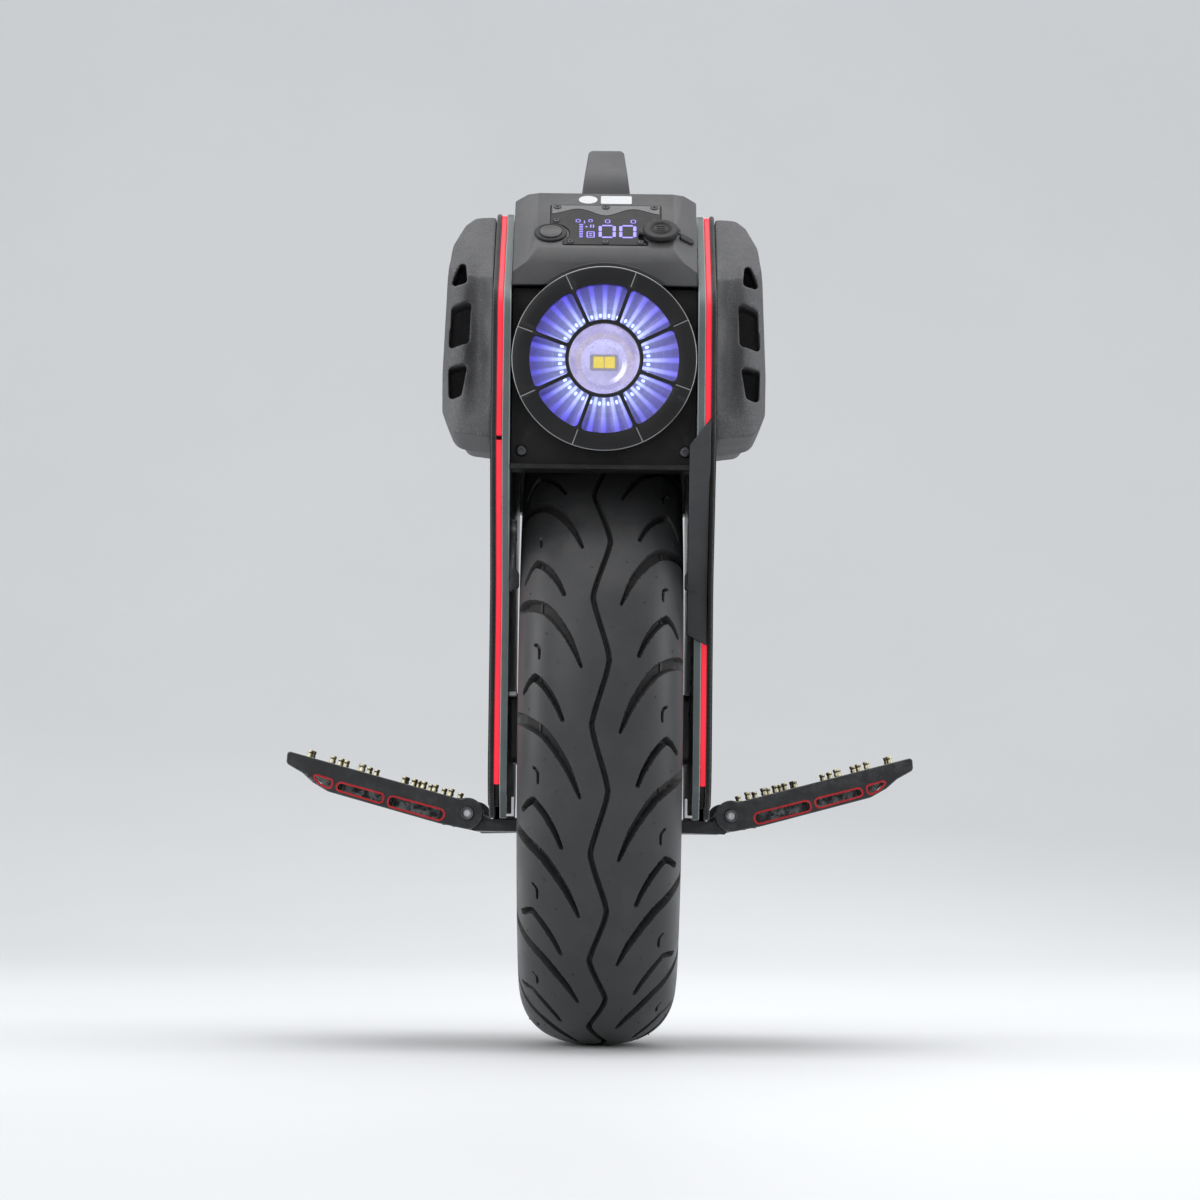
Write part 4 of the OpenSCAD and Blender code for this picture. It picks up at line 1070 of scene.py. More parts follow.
def make_tread(look, half):
    """Half of the tread's length: its pressed sheet, closed by a plain inner wall."""
    x, r, turn, groove = pressed_pitch(look)
    pitch = 360 / look.pitch_count
    share = look.pitch_count // 2
    first = -share // 2 + half * share
    angles = [np.radians(turn + k * pitch) for k in range(first, first + share)]
    angles.append(np.radians(turn[:1] + (first + share) * pitch))
    outer = np.concatenate([round_wheel(x[:len(a)], r[:len(a)], a) for a in angles])
    shade = np.concatenate([groove[:len(a)] for a in angles])
    rows, columns = shade.shape
    wall_x = np.linspace(TYRE_HALF_W - 3 * MM, 3 * MM - TYRE_HALF_W, 4)
    wall_r = np.array([CROWN_FOOT_R, WHEEL_R - 14 * MM, WHEEL_R - 14 * MM, CROWN_FOOT_R])
    row_angle = np.radians(first * pitch + np.arange(rows) * pitch / ROWS_A_PITCH)[:, None]
    inner = round_wheel(np.broadcast_to(wall_x, (rows, 4)), wall_r, row_angle)
    grid = np.concatenate([outer, inner, outer[:, :1]], 1)
    shade = np.concatenate([shade, np.zeros((rows, 4)), shade[:, :1]], 1)
    deselect()
    bpy.ops.mesh.primitive_grid_add(x_subdivisions=columns + 4, y_subdivisions=rows - 1)
    piece = added(f"tyre_tread_{half}")
    piece.data.vertices.foreach_set("co", grid.astype(np.float32).ravel())
    layer = piece.data.attributes.new("groove", "FLOAT", "POINT")
    layer.data.foreach_set("value", shade.astype(np.float32).ravel())
    piece.data.update()
    return smooth(face_outwards(piece, 0.001 * MM), 38)


def make_casing():
    """Side walls, beads and the inside of the tyre, lathed, with rings on the side walls."""
    half, foot = TYRE_HALF_W, BEAD_R + 0.2 * MM
    bead_x = 34.6 * MM
    wall = [(CROWN_FOOT_R + 0.3 * MM, half), (CROWN_FOOT_R - 5 * MM, half - 0.3 * MM),
        (CROWN_FOOT_R - 6 * MM, half + 0.3 * MM), (CROWN_FOOT_R - 7.2 * MM, half + 0.3 * MM),
        (CROWN_FOOT_R - 8.2 * MM, half - 1.0 * MM), (foot + 18 * MM, 41.5 * MM),
        (foot + 16.6 * MM, 41.6 * MM), (foot + 16 * MM, 39.6 * MM), (foot + 11 * MM, 36.2 * MM),
        (foot + 8.8 * MM, bead_x), (foot, bead_x), (foot, bead_x - 7 * MM),
        (foot + 12 * MM, bead_x - 5.5 * MM), (CROWN_FOOT_R, half - 7 * MM),
        (WHEEL_R - 17 * MM, half - 16 * MM), (WHEEL_R - 15 * MM, 0)]
    other = [(r, -x) for r, x in reversed(wall)][1:]
    rest = [(WHEEL_R - 14.5 * MM, -half + 15 * MM), (CROWN_FOOT_R + 2 * MM, -half + 4 * MM)]
    closing = rest + [(r, -x) for r, x in reversed(rest)]
    piece = turned("tyre_casing", wall + other + closing, 160)
    moved(piece, Matrix.Translation(AXLE) @ Matrix.Rotation(math.pi / 2, 4, "Y"))
    return smooth(piece, 40)


def make_vent_nubs(look):
    """Short rubber whiskers that the mould's vents leave on the tread."""
    side, radius, _ = crown_section(60)
    spots = [(0.3, 5.0), (0.52, 12.5), (0.66, 7.0), (0.86, 20.5), (0.12, 17.5)]
    pitch = 360 / look.pitch_count
    nubs = []
    deselect()
    for k in range(look.pitch_count):
        for sign in (-1, 1):
            for share, turn in spots:
                angle = math.radians(turn + (k + (0.5 if sign > 0 else 0)) * pitch)
                x = share * TYRE_HALF_W
                r = float(np.interp(x, side, radius)) + 0.25 * MM
                place = Vector((sign * x, -r * math.cos(angle), WHEEL_R - r * math.sin(angle)))
                bpy.ops.mesh.primitive_cone_add(vertices=6, radius1=0.55 * MM,
                    radius2=0.4 * MM, depth=1.0 * MM, location=place,
                    rotation=(math.pi / 2 + angle, 0, 0))
                nubs.append(bpy.context.active_object)
    return settle(joined("tyre_nubs", nubs))


class UNICYCLE_OT_tyre(bpy.types.Operator):
    """Adds the tyre with its tread, side walls and mould whiskers"""
    bl_idname = "unicycle.tyre"
    bl_label = "Tyre"

    def execute(self, context):
        look = context.scene.unicycle_tyre
        for half in range(2):
            tread = paint(make_tread(look, half), "tyre_rubber")
            fitted(tread, "wheel", "tyre_rubber", "tyre")
        casing = paint(make_casing(), "tyre_rubber")
        fitted(casing, "wheel", "tyre_rubber", "tyre")
        nubs = paint(make_vent_nubs(look), "tyre_rubber")
        fitted(nubs, "wheel", "tyre_rubber")
        return {"FINISHED"}


# ---- shells and plates ----
# Each row is a node, its finish, the rounding of its edges in millimetres, and segments.
SHELLS = (
    ("side_plate_left", "plate_metal", 0.7, 3),
    ("side_plate_right", "plate_metal", 0.7, 3),
    ("wheel_arch", "black_shell", 0.4, 2),
    ("front_panel", "black_shell", 0.5, 2),
    ("rear_panel", "black_shell", 0.5, 2),
    ("cable_cover", "cable_shell", 0.6, 2),
    ("carry_handle", "handle_shell", 1.2, 3),
    ("side_cores", "black_trim", 0.5, 1),
    ("charge_socket", "black_trim", 0.35, 2),
    ("button_ring", "black_trim", 0.35, 2),
    ("pedal_hanger_left", "cable_shell", 0.7, 2),
    ("pedal_hanger_right", "cable_shell", 0.7, 2),
    ("axle_nuts", "bare_steel", 0.5, 2),
    ("rim_shell", "dark_cast", 0.6, 2),
)
# Finishes whose rounded edges take a lighter rim finish: partly wear, partly a painted
# highlight.
WORN_AND_HIGHLIT_RIMS = {"plate_metal": "plate_rim_worn_and_highlit"}


def make_top_cover():
    """The top cover: its roof wears the shell finish, its facets that face sideways and up are
    lightened as painted light, its downward faces are darkened as painted shade, and its lower
    front and rear walls are darker.
    """
    cover = dressed("top_cover", 0.9 * MM, segments=3)
    paint(cover, "cover_shell")
    cover.data.materials.append(finishes["cover_dark_and_painted_shade"])
    cover.data.materials.append(finishes["cover_painted_light_facet"])
    dark, painted_light_facet = 1, 2
    wall_top = RIDGE_Z - 61 * MM
    for face in cover.data.polygons:
        # Faces that look sideways and up take the lightened copy of the shell finish: painted
        # light.
        if abs(face.normal.x) > 0.25 and face.normal.z > 0.2:
            face.material_index = painted_light_facet
        upright = abs(face.normal.z) < 0.25 and abs(face.normal.y) > 0.6
        # Faces that look down take the dark finish as painted shade; the lower front and rear
        # walls take it as well.
        if face.normal.z < -0.25 or (upright and face.center.z < wall_top):
            face.material_index = dark
    return cover


def make_visor_line():
    """A thin dark seam across the top cover behind the control panel."""
    outline = rounded_rectangle(2 * (top_high.x - 15 * MM), 1.1 * MM, 0.4 * MM, 3)
    seam = outline_piece("roof_seam", outline, 0.3 * MM)
    moved(seam, Matrix.Translation((0, RIDGE_Y + 3 * MM, RIDGE_Z)))
    return paint(seam, "cover_dark_and_painted_shade")


def make_painted_lamp_shadow():
    """A painted shadow: the dark crescent between the lamp's rim and the cover over it."""
    inner, outer, depth, back_y = LAMP_R + 0.2 * MM, LAMP_R + 3.6 * MM, 8 * MM, -176 * MM
    # A dark ring cut to the part above the lamp, painted as the shadow that the cover casts
    # round the rim.
    ring = turned("lamp_gap", [(inner, 0), (outer, 0), (outer, depth - 0.6 * MM),
        (outer - 0.5 * MM, depth), (inner, depth)], 120)
    moved(ring, facing_front(0, back_y, LAMP_Z))
    cut(ring, block("under", (-0.2, -0.3, 0.2), (0.2, -0.1, COVER_FOOT_Z)))
    return paint(ring, "cover_dark_and_painted_shade")


class UNICYCLE_OT_shells(bpy.types.Operator):
    """Adds the moulded shells and cast plates with rounded edges"""
    bl_idname = "unicycle.shells"
    bl_label = "Shells and Plates"

    def execute(self, context):
        for node, finish, edge, segments in SHELLS:
            shell = dressed(node, edge * MM, segments=segments)
            paint(shell, finish, WORN_AND_HIGHLIT_RIMS.get(finish))
        make_top_cover()
        fitted(make_visor_line(), "frame", "cover_shell")
        fitted(make_painted_lamp_shadow(), "frame", "cover_shell")
        return {"FINISHED"}


# ---- screws ----
def make_screw(name, r, height, socket_r):
    """A domed screw head on z = 0, with a six-sided socket."""
    head = turned(name, [(0, 0), (r, 0), (r, height * 0.45), (r * 0.93, height * 0.8),
        (r * 0.75, height), (0, height)], 28)
    socket = rod(name + "_socket", socket_r, height, (0, 0, height * 0.85), sides=6)
    cut(head, socket)
    return smooth(paint(head, "dark_screws"), 40)


def spread(source, name, matrices, body, slot, *nodes):
    """Puts copies of a piece at each place, joined into one."""
    copies = [copied(source, f"{name}_{i}", matrix) for i, matrix in enumerate(matrices)]
    bpy.data.objects.remove(source)
    return fitted(joined(name, copies), body, slot, *nodes)


class UNICYCLE_OT_screws(bpy.types.Operator):
    """Adds the heads of the front and rear panels' screws"""
    bl_idname = "unicycle.screws"
    bl_label = "Panel Screws"

    def execute(self, context):
        low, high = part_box("panel_screws")
        head_r, head_h = 3.6 * MM, 2 * MM
        places = []
        for x in (low.x + head_r, high.x - head_r):
            front = facing_front(x, low.y + head_h, high.z - head_r)
            places += [front, Matrix.Rotation(math.pi, 4, "Z") @ front]
        screw = make_screw("panel_screw_head", head_r, head_h, 1.5 * MM)
        spread(screw, "panel_screw_heads", places, "frame", "dark_screws", "panel_screws")
        return {"FINISHED"}


# ---- side light strips ----
def make_strip(side):
    """A lit red strip along the plate's edge with an even, slightly milky face."""
    return paint(dressed("light_strip_" + side_name(side), 0.5 * MM), "red_light")


class UNICYCLE_OT_side_strips(bpy.types.Operator):
    """Adds the lit red strips along the side plates"""
    bl_idname = "unicycle.side_strips"
    bl_label = "Side Strips"

    def execute(self, context):
        make_strip(-1)
        make_strip(1)
        return {"FINISHED"}


# ---- side covers ----
def make_side_cover(side):
    """A padded black side cover, worn in the knitted finish."""
    node = "side_cover_" + side_name(side)
    cover = paint(dressed(node, 1.3 * MM, segments=3), "side_foam")
    make_piping(node, side)
    return cover


def make_piping(node, side):
    """A sewn cord that follows the cover's outline a little way in from its edge."""
    corners = [vertex.co for vertex in frame["nodes"][node].data.vertices]
    face = max(side * corner.x for corner in corners)
    rim = [corner for corner in corners if side * corner.x > face - 0.05 * MM]
    middle = Vector((0, 0, (cover_low.z + cover_high.z) / 2))
    spokes, inset, hoop_r, cord_r = 96, 9 * MM, 0.1, 0.001
    rays = [Vector((0, math.cos(TAU * k / spokes), math.sin(TAU * k / spokes)))
        for k in range(spokes)]
    reach = [edge_distance(rim, middle, ray) - inset for ray in rays]
    deselect()
    bpy.ops.mesh.primitive_torus_add(major_segments=spokes, minor_segments=8,
        major_radius=hoop_r, minor_radius=cord_r)
    cord = added(node + "_piping")
    for vertex in cord.data.vertices:
        k = round(math.atan2(vertex.co.y, vertex.co.x) / TAU * spokes) % spokes
        away = math.hypot(vertex.co.x, vertex.co.y) - hoop_r
        height = face + 0.1 * MM + vertex.co.z * 0.8
        vertex.co = middle + Vector((side * height, 0, 0)) + rays[k] * (reach[k] + away)
    cord.data.update()
    smooth(paint(face_outwards(cord), "black_trim"), 60)
    return fitted(cord, "frame", "side_foam")


def edge_distance(rim, middle, ray):
    """How far a convex hull of the rim's points reaches along a ray from the middle."""
    across = Vector((0, -ray.z, ray.y))
    best = 0.0
    marks = sorted(rim, key=lambda p: math.atan2((p - middle).dot(across),
        (p - middle).dot(ray)))
    for first, last in zip(marks, marks[1:]):
        a, b = (first - middle).dot(across), (last - middle).dot(across)
        if a <= 0 < b and abs(b - a) > 1e-9:
            share = -a / (b - a)
            far = (first - middle).dot(ray) * (1 - share) + (last - middle).dot(ray) * share
            best = max(best, far)
    return best


class UNICYCLE_OT_side_covers(bpy.types.Operator):
    """Adds the padded side covers"""
    bl_idname = "unicycle.side_covers"
    bl_label = "Side Covers"

    def execute(self, context):
        make_side_cover(-1)
        make_side_cover(1)
        return {"FINISHED"}


# ---- side pads ----
def make_pad(node):
    """A moulded pad: soft round edges, and a hollow flank between its rim and its foot."""
    pad = bare_copy(node, node + "_moulded")
    low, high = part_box(node)
    outer = 1 if high.x > 0 else -1
    end = -1 if low.y + high.y < 0 else 1
    tip = low.y if end < 0 else high.y
    apply_modifier(pad, "REMESH", mode="VOXEL", voxel_size=1.1 * MM)
    apply_modifier(pad, "SMOOTH", factor=0.5, iterations=4)
    hollow_depth, lip_depth = 8.5 * MM, 3 * MM
    spots = np.empty(len(pad.data.vertices) * 3)
    pad.data.vertices.foreach_get("co", spots)
    spots = spots.reshape(-1, 3)
    side = outer * spots[:, 0] - cover_high.x
    hollow = np.clip(1 - ((side - 9.5 * MM) / (9 * MM)) ** 2, 0, 1) ** 1.5
    near = np.clip(1 - np.abs(spots[:, 1] - tip) / (30 * MM), 0, 1)
    middle = (low.z + high.z) / 2 - 4 * MM
    tall = np.clip(1 - ((spots[:, 2] - middle) / (58 * MM)) ** 2, 0, 1) ** 0.7
    spots[:, 1] -= end * hollow_depth * hollow * near * tall
    lip = np.clip((side - 18 * MM) / (16 * MM), 0, 1) ** 2
    spots[:, 1] -= end * lip_depth * lip * near
    pad.data.vertices.foreach_set("co", spots.ravel())
    pad.data.update()
    smooth(paint(pad, "pad_rubber"), 60)
    fitted(pad, body_of_node(node), material_slot(node), node)
    return pad


class UNICYCLE_OT_pads(bpy.types.Operator):
    """Adds the four moulded side pads"""
    bl_idname = "unicycle.pads"
    bl_label = "Side Pads"

    def execute(self, context):
        for node in PAD_NODES:
            make_pad(node)
        return {"FINISHED"}


# ---- headlight ----
SPOKE_TURN = math.radians(25.3)
SPOKE_COUNT = 8
BEZEL_T = bezel_high.y - bezel_low.y


def ring_profile(inner, outer, low, high, edge):
    """Profile of a ring whose front corners are rounded off."""
    return [(inner, low), (outer, low), (outer, high - edge), (outer - edge * 0.3,
        high - edge * 0.3), (outer - edge, high), (inner + edge, high),
        (inner + edge * 0.3, high - edge * 0.3), (inner, high - edge)]


def lamp_window(name, middle, low, high):
    """A cutter for one window between two spokes, with rounded corners."""
    spoke_half_w = 1.1 * MM
    corners = []
    for radius, way, edge in ((RING_OUT_R, -1, 1.2 * MM), (WINDOW_R, 1, 2.6 * MM)):
        reach = math.pi / SPOKE_COUNT - math.asin(spoke_half_w / radius)
        for k in range(9):
            angle = middle + way * reach * (1 - k / 4)
            corners.append((radius * math.cos(angle), radius * math.sin(angle),
                edge if k in (0, 8) else 0))
    piece = outline_piece(name, rounded(corners), high - low)
    return moved(piece, Matrix.Translation((0, 0, low)))


def make_bezel():
    """The bezel plate with eight windows, and a line in its face outside each spoke."""
    plate = turned("headlight_bezel_plate", ring_profile(RING_IN_R, LAMP_R, 0,
        BEZEL_T, 1.1 * MM), 144)
    for k in range(SPOKE_COUNT):
        middle = SPOKE_TURN + (k + 0.5) * TAU / SPOKE_COUNT
        cut(plate, lamp_window(f"window_{k}", middle, -MM, BEZEL_T + MM))
    for k in range(SPOKE_COUNT):
        angle = SPOKE_TURN + k * TAU / SPOKE_COUNT
        line = block(f"line_{k}", (WINDOW_R + 0.6 * MM, -0.45 * MM, BEZEL_T - 0.6 * MM),
            (LAMP_R + MM, 0.45 * MM, BEZEL_T + MM))
        cut(plate, moved(line, Matrix.Rotation(angle, 4, "Z")))
    bevelled(plate, 0.4 * MM, 2, 40)
    smooth(plate, 40)
    moved(plate, facing_front(0, LAMP_Y + BEZEL_T, LAMP_Z))
    return fitted(paint(plate, "black_trim"), "frame", "black_trim", "headlight_bezel")


def make_rim_line():
    """The bezel's bright outer edge and the pale fillings of its lines."""
    line = turned("headlight_rim_line", [(LAMP_R - 0.5 * MM, BEZEL_T - 1.2 * MM),
        (LAMP_R + 0.1 * MM, BEZEL_T - 1.2 * MM), (LAMP_R + 0.1 * MM, BEZEL_T - 0.8 * MM),
        (LAMP_R - 0.25 * MM, BEZEL_T - 0.42 * MM), (LAMP_R - 0.5 * MM, BEZEL_T - 0.4 * MM)],
        144)
    parts = [line]
    for k in range(SPOKE_COUNT):
        angle = SPOKE_TURN + k * TAU / SPOKE_COUNT
        fill = block(f"fill_{k}", (WINDOW_R + 0.9 * MM, -0.3 * MM, BEZEL_T - 0.7 * MM),
            (LAMP_R - 0.6 * MM, 0.3 * MM, BEZEL_T - 0.35 * MM))
        parts.append(moved(fill, Matrix.Rotation(angle, 4, "Z")))
    piece = smooth(joined("headlight_rim_line", parts), 40)
    moved(piece, facing_front(0, LAMP_Y + BEZEL_T, LAMP_Z))
    return fitted(paint(piece, "rim_line"), "frame", "black_trim")


def make_light_guide(look):
    """The ribbed ring behind the windows, lit by the sources at its foot."""
    inner, outer = RING_OUT_R - 0.6 * MM, LENS_R - 0.5 * MM
    guide = turned("headlight_light_guide", [(inner, -2.5 * MM), (outer, -2.5 * MM),
        (outer, 0.6 * MM), (outer - 6 * MM, 0.2 * MM), (outer - 12 * MM, -0.4 * MM),
        (outer - 18 * MM, -0.9 * MM), (inner, -1.2 * MM)], look.led_count * 8)
    for vertex in guide.data.vertices:
        radius = math.hypot(vertex.co.x, vertex.co.y)
        if vertex.co.z > -2 * MM and inner + MM < radius < outer - MM:
            vertex.co.z += 0.3 * MM * math.cos(look.led_count * math.atan2(vertex.co.y,
                vertex.co.x))
    smooth(guide, 50)
    moved(guide, facing_front(0, lens_high.y + 1.3 * MM, LAMP_Z))
    return fitted(paint(guide, "light_guide"), "frame", "bright_reflector",
        "headlight_reflector")


def make_bowl():
    """The pearly bowl round the chips, in shallow steps."""
    profile = mm((23.6, 0), (23.6, -18), (0, -18), (0, -16.4), (10.4, -16.2), (10.6, -14.8),
        (13.4, -14), (13.8, -12.2), (16.8, -10.2), (17.2, -8.6), (19.8, -5.6), (20.1, -4.2),
        (21.8, -0.4), (22.2, 0))
    bowl = smooth(turned("headlight_bowl", profile, 96), 50)
    moved(bowl, facing_front(0, lens_high.y + 0.4 * MM, LAMP_Z))
    return fitted(paint(bowl, "bright_reflector"), "frame", "bright_reflector",
        "headlight_reflector")


def make_lens():
    """The clear lens: flat outside, gently domed over the bowl."""
    thick = lens_high.y - lens_low.y
    profile = [(0, 0), (LENS_R, 0), (LENS_R, thick - 0.3 * MM),
        (LENS_R - 0.3 * MM, thick), (21.6 * MM, thick), (19 * MM, thick + 0.9 * MM),
        (14 * MM, thick + 2.0 * MM), (8 * MM, thick + 2.7 * MM), (3 * MM, thick + 3 * MM),
        (0, thick + 3 * MM)]
    lens = smooth(turned("headlight_clear_lens", profile, 96), 25)
    moved(lens, facing_front(0, lens_high.y, LAMP_Z))
    return fitted(paint(lens, "clear_lens"), "frame", "clear_lens", "headlight_lens")


def make_chips(look):
    """Two yellow chips on a dark plate, and the light sources round the bowl."""
    back = lens_high.y + 16 * MM
    chips = []
    for x in (-3.25 * MM, 3.25 * MM):
        chip = rounded_box("chip", 6, 6.7, 1.2, 0.5, 0.25)
        chips.append(moved(chip, facing_front(x, back, LAMP_Z)))
    fitted(paint(joined("headlight_chips", chips), "led_chip"), "frame", "led_light",
        "headlight_leds")
    board = rounded_box("headlight_chip_board", 16.5, 9.4, 1.6, 1.2, 0.3)
    moved(board, facing_front(0, back + 1.2 * MM, LAMP_Z))
    fitted(paint(board, "label"), "frame", "led_light", "headlight_leds")
    spots = []
    for k in range(look.led_count):
        angle = (k + 0.5) * TAU / look.led_count
        spot = rounded_box("spot", 2.3, 1.3, 0.5, 0.5, 0.15)
        moved(spot, Matrix.Rotation(angle, 4, "Z") @ Matrix.Translation((27.4 * MM, 0,
            -0.75 * MM)))
        spots.append(moved(spot, facing_front(0, lens_high.y + 1.3 * MM, LAMP_Z)))
    spots = paint(joined("headlight_spots", spots), "led_spot")
    return fitted(spots, "frame", "led_light", "headlight_leds")


class UNICYCLE_OT_headlight(bpy.types.Operator):
    """Adds the lamp: bezel with its spokes, light guide, lens, bowl and light chips"""
    bl_idname = "unicycle.headlight"
    bl_label = "Headlight"

    def execute(self, context):
        look = context.scene.unicycle_lamp
        make_bezel()
        make_rim_line()
        make_light_guide(look)
        make_bowl()
        make_lens()
        make_chips(look)
        return {"FINISHED"}


# ---- display ----
BUTTON_X, CAP_X, CONTROL_S = -34.4 * MM, 34.6 * MM, 49 * MM
DISPLAY_SCREWS = ((-30.7, 18), (0, 18), (30.7, 18), (-31, 34), (31, 34), (-22, 59), (0, 59),
    (22, 59))


def make_wave_band():
    """The grey band with a wavy lower edge behind the figures."""
    half, top = 33.9 * MM, 15.6 * MM
    lower = []
    for k in range(49):
        x = -half + 2 * half * k / 48
        swell = 4.4 * math.cos(TAU * (x / MM) / 36) * math.exp(-abs(x / MM) / 70)
        lower.append((x, -(23.0 + swell) * MM))
    piece = outline_piece("display_wave_band", lower + [(half, -top), (-half, -top)],
        0.2 * MM)
    moved(piece, on_panel(0, 0, 0.22 * MM))
    return fitted(paint(piece, "wave_band"), "frame", "black_gloss")


def figure_bars(x, s, width, height, stroke):
    """The six bars of a figure 0 in local panel coordinates (sideways, down the slope)."""
    gap = stroke * 0.32
    bars = []
    for side in (-1, 1):
        bars.append((x, s + side * (height - stroke) / 2, width - stroke * 2.1, stroke * 0.75))
        for part in (-1, 1):
            bars.append((x + side * (width - stroke) / 2, s + part * (height / 4 - gap / 2
                - stroke * 0.12), stroke, height / 2 - stroke * 0.7 - gap))
    return bars


def make_figures():
    """Lit figures and bars of the display."""
    bars = figure_bars(1.0, 46.5, 10.8, 16.0, 2.0) + figure_bars(13.9, 46.5, 10.8, 16.0, 2.0)
    bars += figure_bars(1.2, 34.4, 3.4, 4.4, 0.7) + figure_bars(17.4, 34.4, 3.4, 4.4, 0.7)
    bars += figure_bars(-17.4, 34.0, 3.0, 4.0, 0.6) + figure_bars(-9.6, 33.8, 2.6, 3.6, 0.6)
    bars += [(-13.4, 35.4, 0.7, 3.2)]
    bars += [(-15.4, 38.5 + 2.1 * k, 2.4, 0.9) for k in range(8)]
    bars += [(-12.1, 41.2, 1.3, 1.3), (-9.4, 40.4, 0.8, 3.4), (-7.7, 40.4, 0.8, 3.4)]
    bars += [(-9.4, 47.2, 4.9, 0.7), (-9.4, 53.6, 4.9, 0.7), (-11.6, 50.4, 0.7, 6.4),
        (-7.2, 50.4, 0.7, 6.4), (-9.4, 49.4, 2.2, 0.7), (-9.4, 51.4, 2.2, 0.7)]
    pieces = []
    for i, (x, s, width, height) in enumerate(bars):
        r = min(width, height) * 0.28
        bar = outline_piece(f"bar_{i}", rounded_rectangle(width * MM, height * MM, r * MM, 2),
            0.12 * MM)
        pieces.append(moved(bar, on_panel(x * MM, s * MM, 0.24 * MM)))
    piece = paint(joined("display_figures", pieces), "digit")
    return fitted(piece, "frame", "black_gloss")


def make_labels():
    """Two blank white labels behind the display."""
    deselect()
    bpy.ops.mesh.primitive_cylinder_add(radius=1, depth=0.14 * MM, vertices=48)
    oval = added("blank_label_oval")
    oval.scale = (5.9 * MM, 4.7 * MM, 1)
    moved(settle(oval), on_panel(-11.3 * MM, 8 * MM, 0.09 * MM))
    plain = rounded_box("blank_label_plain", 19.6, 9.6, 0.14, 1.1, 0.04)
    moved(plain, on_panel(6.6 * MM, 8 * MM, 0.02 * MM))
    piece = paint(joined("blank_labels", [plain, oval]), "label")
    return fitted(piece, "frame", "cover_shell")


def make_display_screws():
    """Socket screws with countersunk dishes round the display."""
    places = [on_panel(x * MM, s * MM, 0.28 * MM) for x, s in DISPLAY_SCREWS]
    screw = make_screw("display_screw_head", 1.9 * MM, 0.75 * MM, 0.85 * MM)
    spread(screw, "display_screw_heads", places, "frame", "dark_screws", "display_screws")
    dish = turned("screw_dish", mm((2, 0), (2.9, 0), (2.9, 0.12), (2.6, 0.3), (2.2, 0.3),
        (2, 0.12)), 32)
    places = [on_panel(x * MM, s * MM, 0.2 * MM) for x, s in DISPLAY_SCREWS]
    spread(smooth(paint(dish, "black_trim"), 40), "display_screw_dishes", places, "frame",
        "black_trim")


def make_button():
    """The button's ring with its rolled lip, and the dished cap that moves in it."""
    ring = turned("button_rolled_ring", mm((7.15, -9), (9.2, -9), (9.3, 0.1), (10.3, 0.1),
        (10.3, 0.7), (9.9, 1.2), (9.2, 1.45), (8.4, 1.3), (7.9, 0.9), (7.15, 0.6)), 64)
    moved(smooth(ring, 50), on_panel(BUTTON_X, CONTROL_S))
    fitted(paint(ring, "black_trim"), "frame", "black_trim", "button_ring")
    top = 2
    cap = turned("button_dished_cap", mm((0, -6.4), (6.9, -6.4), (6.95, top - 0.6),
        (6.8, top - 0.15), (6.3, top), (5.7, top - 0.15), (4.5, top - 0.45),
        (2.5, top - 0.6), (0, top - 0.65)), 64)
    moved(smooth(cap, 50), on_panel(BUTTON_X, CONTROL_S))
    fitted(paint(cap, "button_cap"), "power_button", "black_trim", "power_button")


def make_charge_cap():
    """The charge cap's rounded body and the raised ring with grip marks on its top."""
    cap = paint(dressed("charge_cap", 0.9 * MM, segments=3, angle=40), "cable_rubber")
    parts = [turned("cap_raised_ring", mm((5.3, 0), (6.5, 0), (6.45, 0.45), (6.1, 0.75),
        (5.7, 0.75), (5.35, 0.45)), 48)]
    for k in (-1, 0, 1):
        mark = rounded_box("mark", 5.2, 0.8, 0.4, 0.35, 0.1)
        parts.append(moved(mark, Matrix.Translation((0, k * 2.2 * MM, 0))))
    top = smooth(joined("cap_raised_ring", parts), 50)
    moved(top, on_panel(CAP_X, CONTROL_S, 4.66 * MM))
    fitted(paint(top, "cable_rubber"), body_of_node("charge_cap"), "cable_rubber")
    return cap


class UNICYCLE_OT_display(bpy.types.Operator):
    """Adds the display window with its figures, the button and the charge cap"""
    bl_idname = "unicycle.display"
    bl_label = "Display"

    def execute(self, context):
        paint(dressed("display_window", 0.3 * MM, segments=2), "black_gloss")
        make_wave_band()
        make_figures()
        make_labels()
        make_display_screws()
        make_button()
        make_charge_cap()
        paint(dressed("cap_tether", 0.5 * MM, segments=3), "cable_rubber")
        return {"FINISHED"}


# ---- tail light ----
class UNICYCLE_OT_tail_light(bpy.types.Operator):
    """Adds the tail light's ribbed lens and its housing"""
    bl_idname = "unicycle.tail_light"
    bl_label = "Tail Light"

    def execute(self, context):
        paint(dressed("tail_light_housing", 0.9 * MM, segments=3), "black_trim")
        low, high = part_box("tail_light_lens")
        lens = dressed("tail_light_lens", 0.8 * MM, segments=3)
        flute_r, pitch, length = 1.6 * MM, 6.2 * MM, high.z - low.z - 6 * MM
        flutes = [rod(f"flute_{k}", flute_r, length, (k * pitch, high.y + 0.9 * MM, LAMP_Z),
            sides=16) for k in range(-6, 7)]
        cut(lens, joined("flutes", flutes))
        smooth(paint(lens, "red_lens"), 40)
        return {"FINISHED"}


# ---- pedals ----
STUDS = ((14, 90), (25, 78), (33.5, 56), (41, 34), (48.5, 12), (73, 84), (76, 50), (91, 30),
    (94, 66), (113, 12))
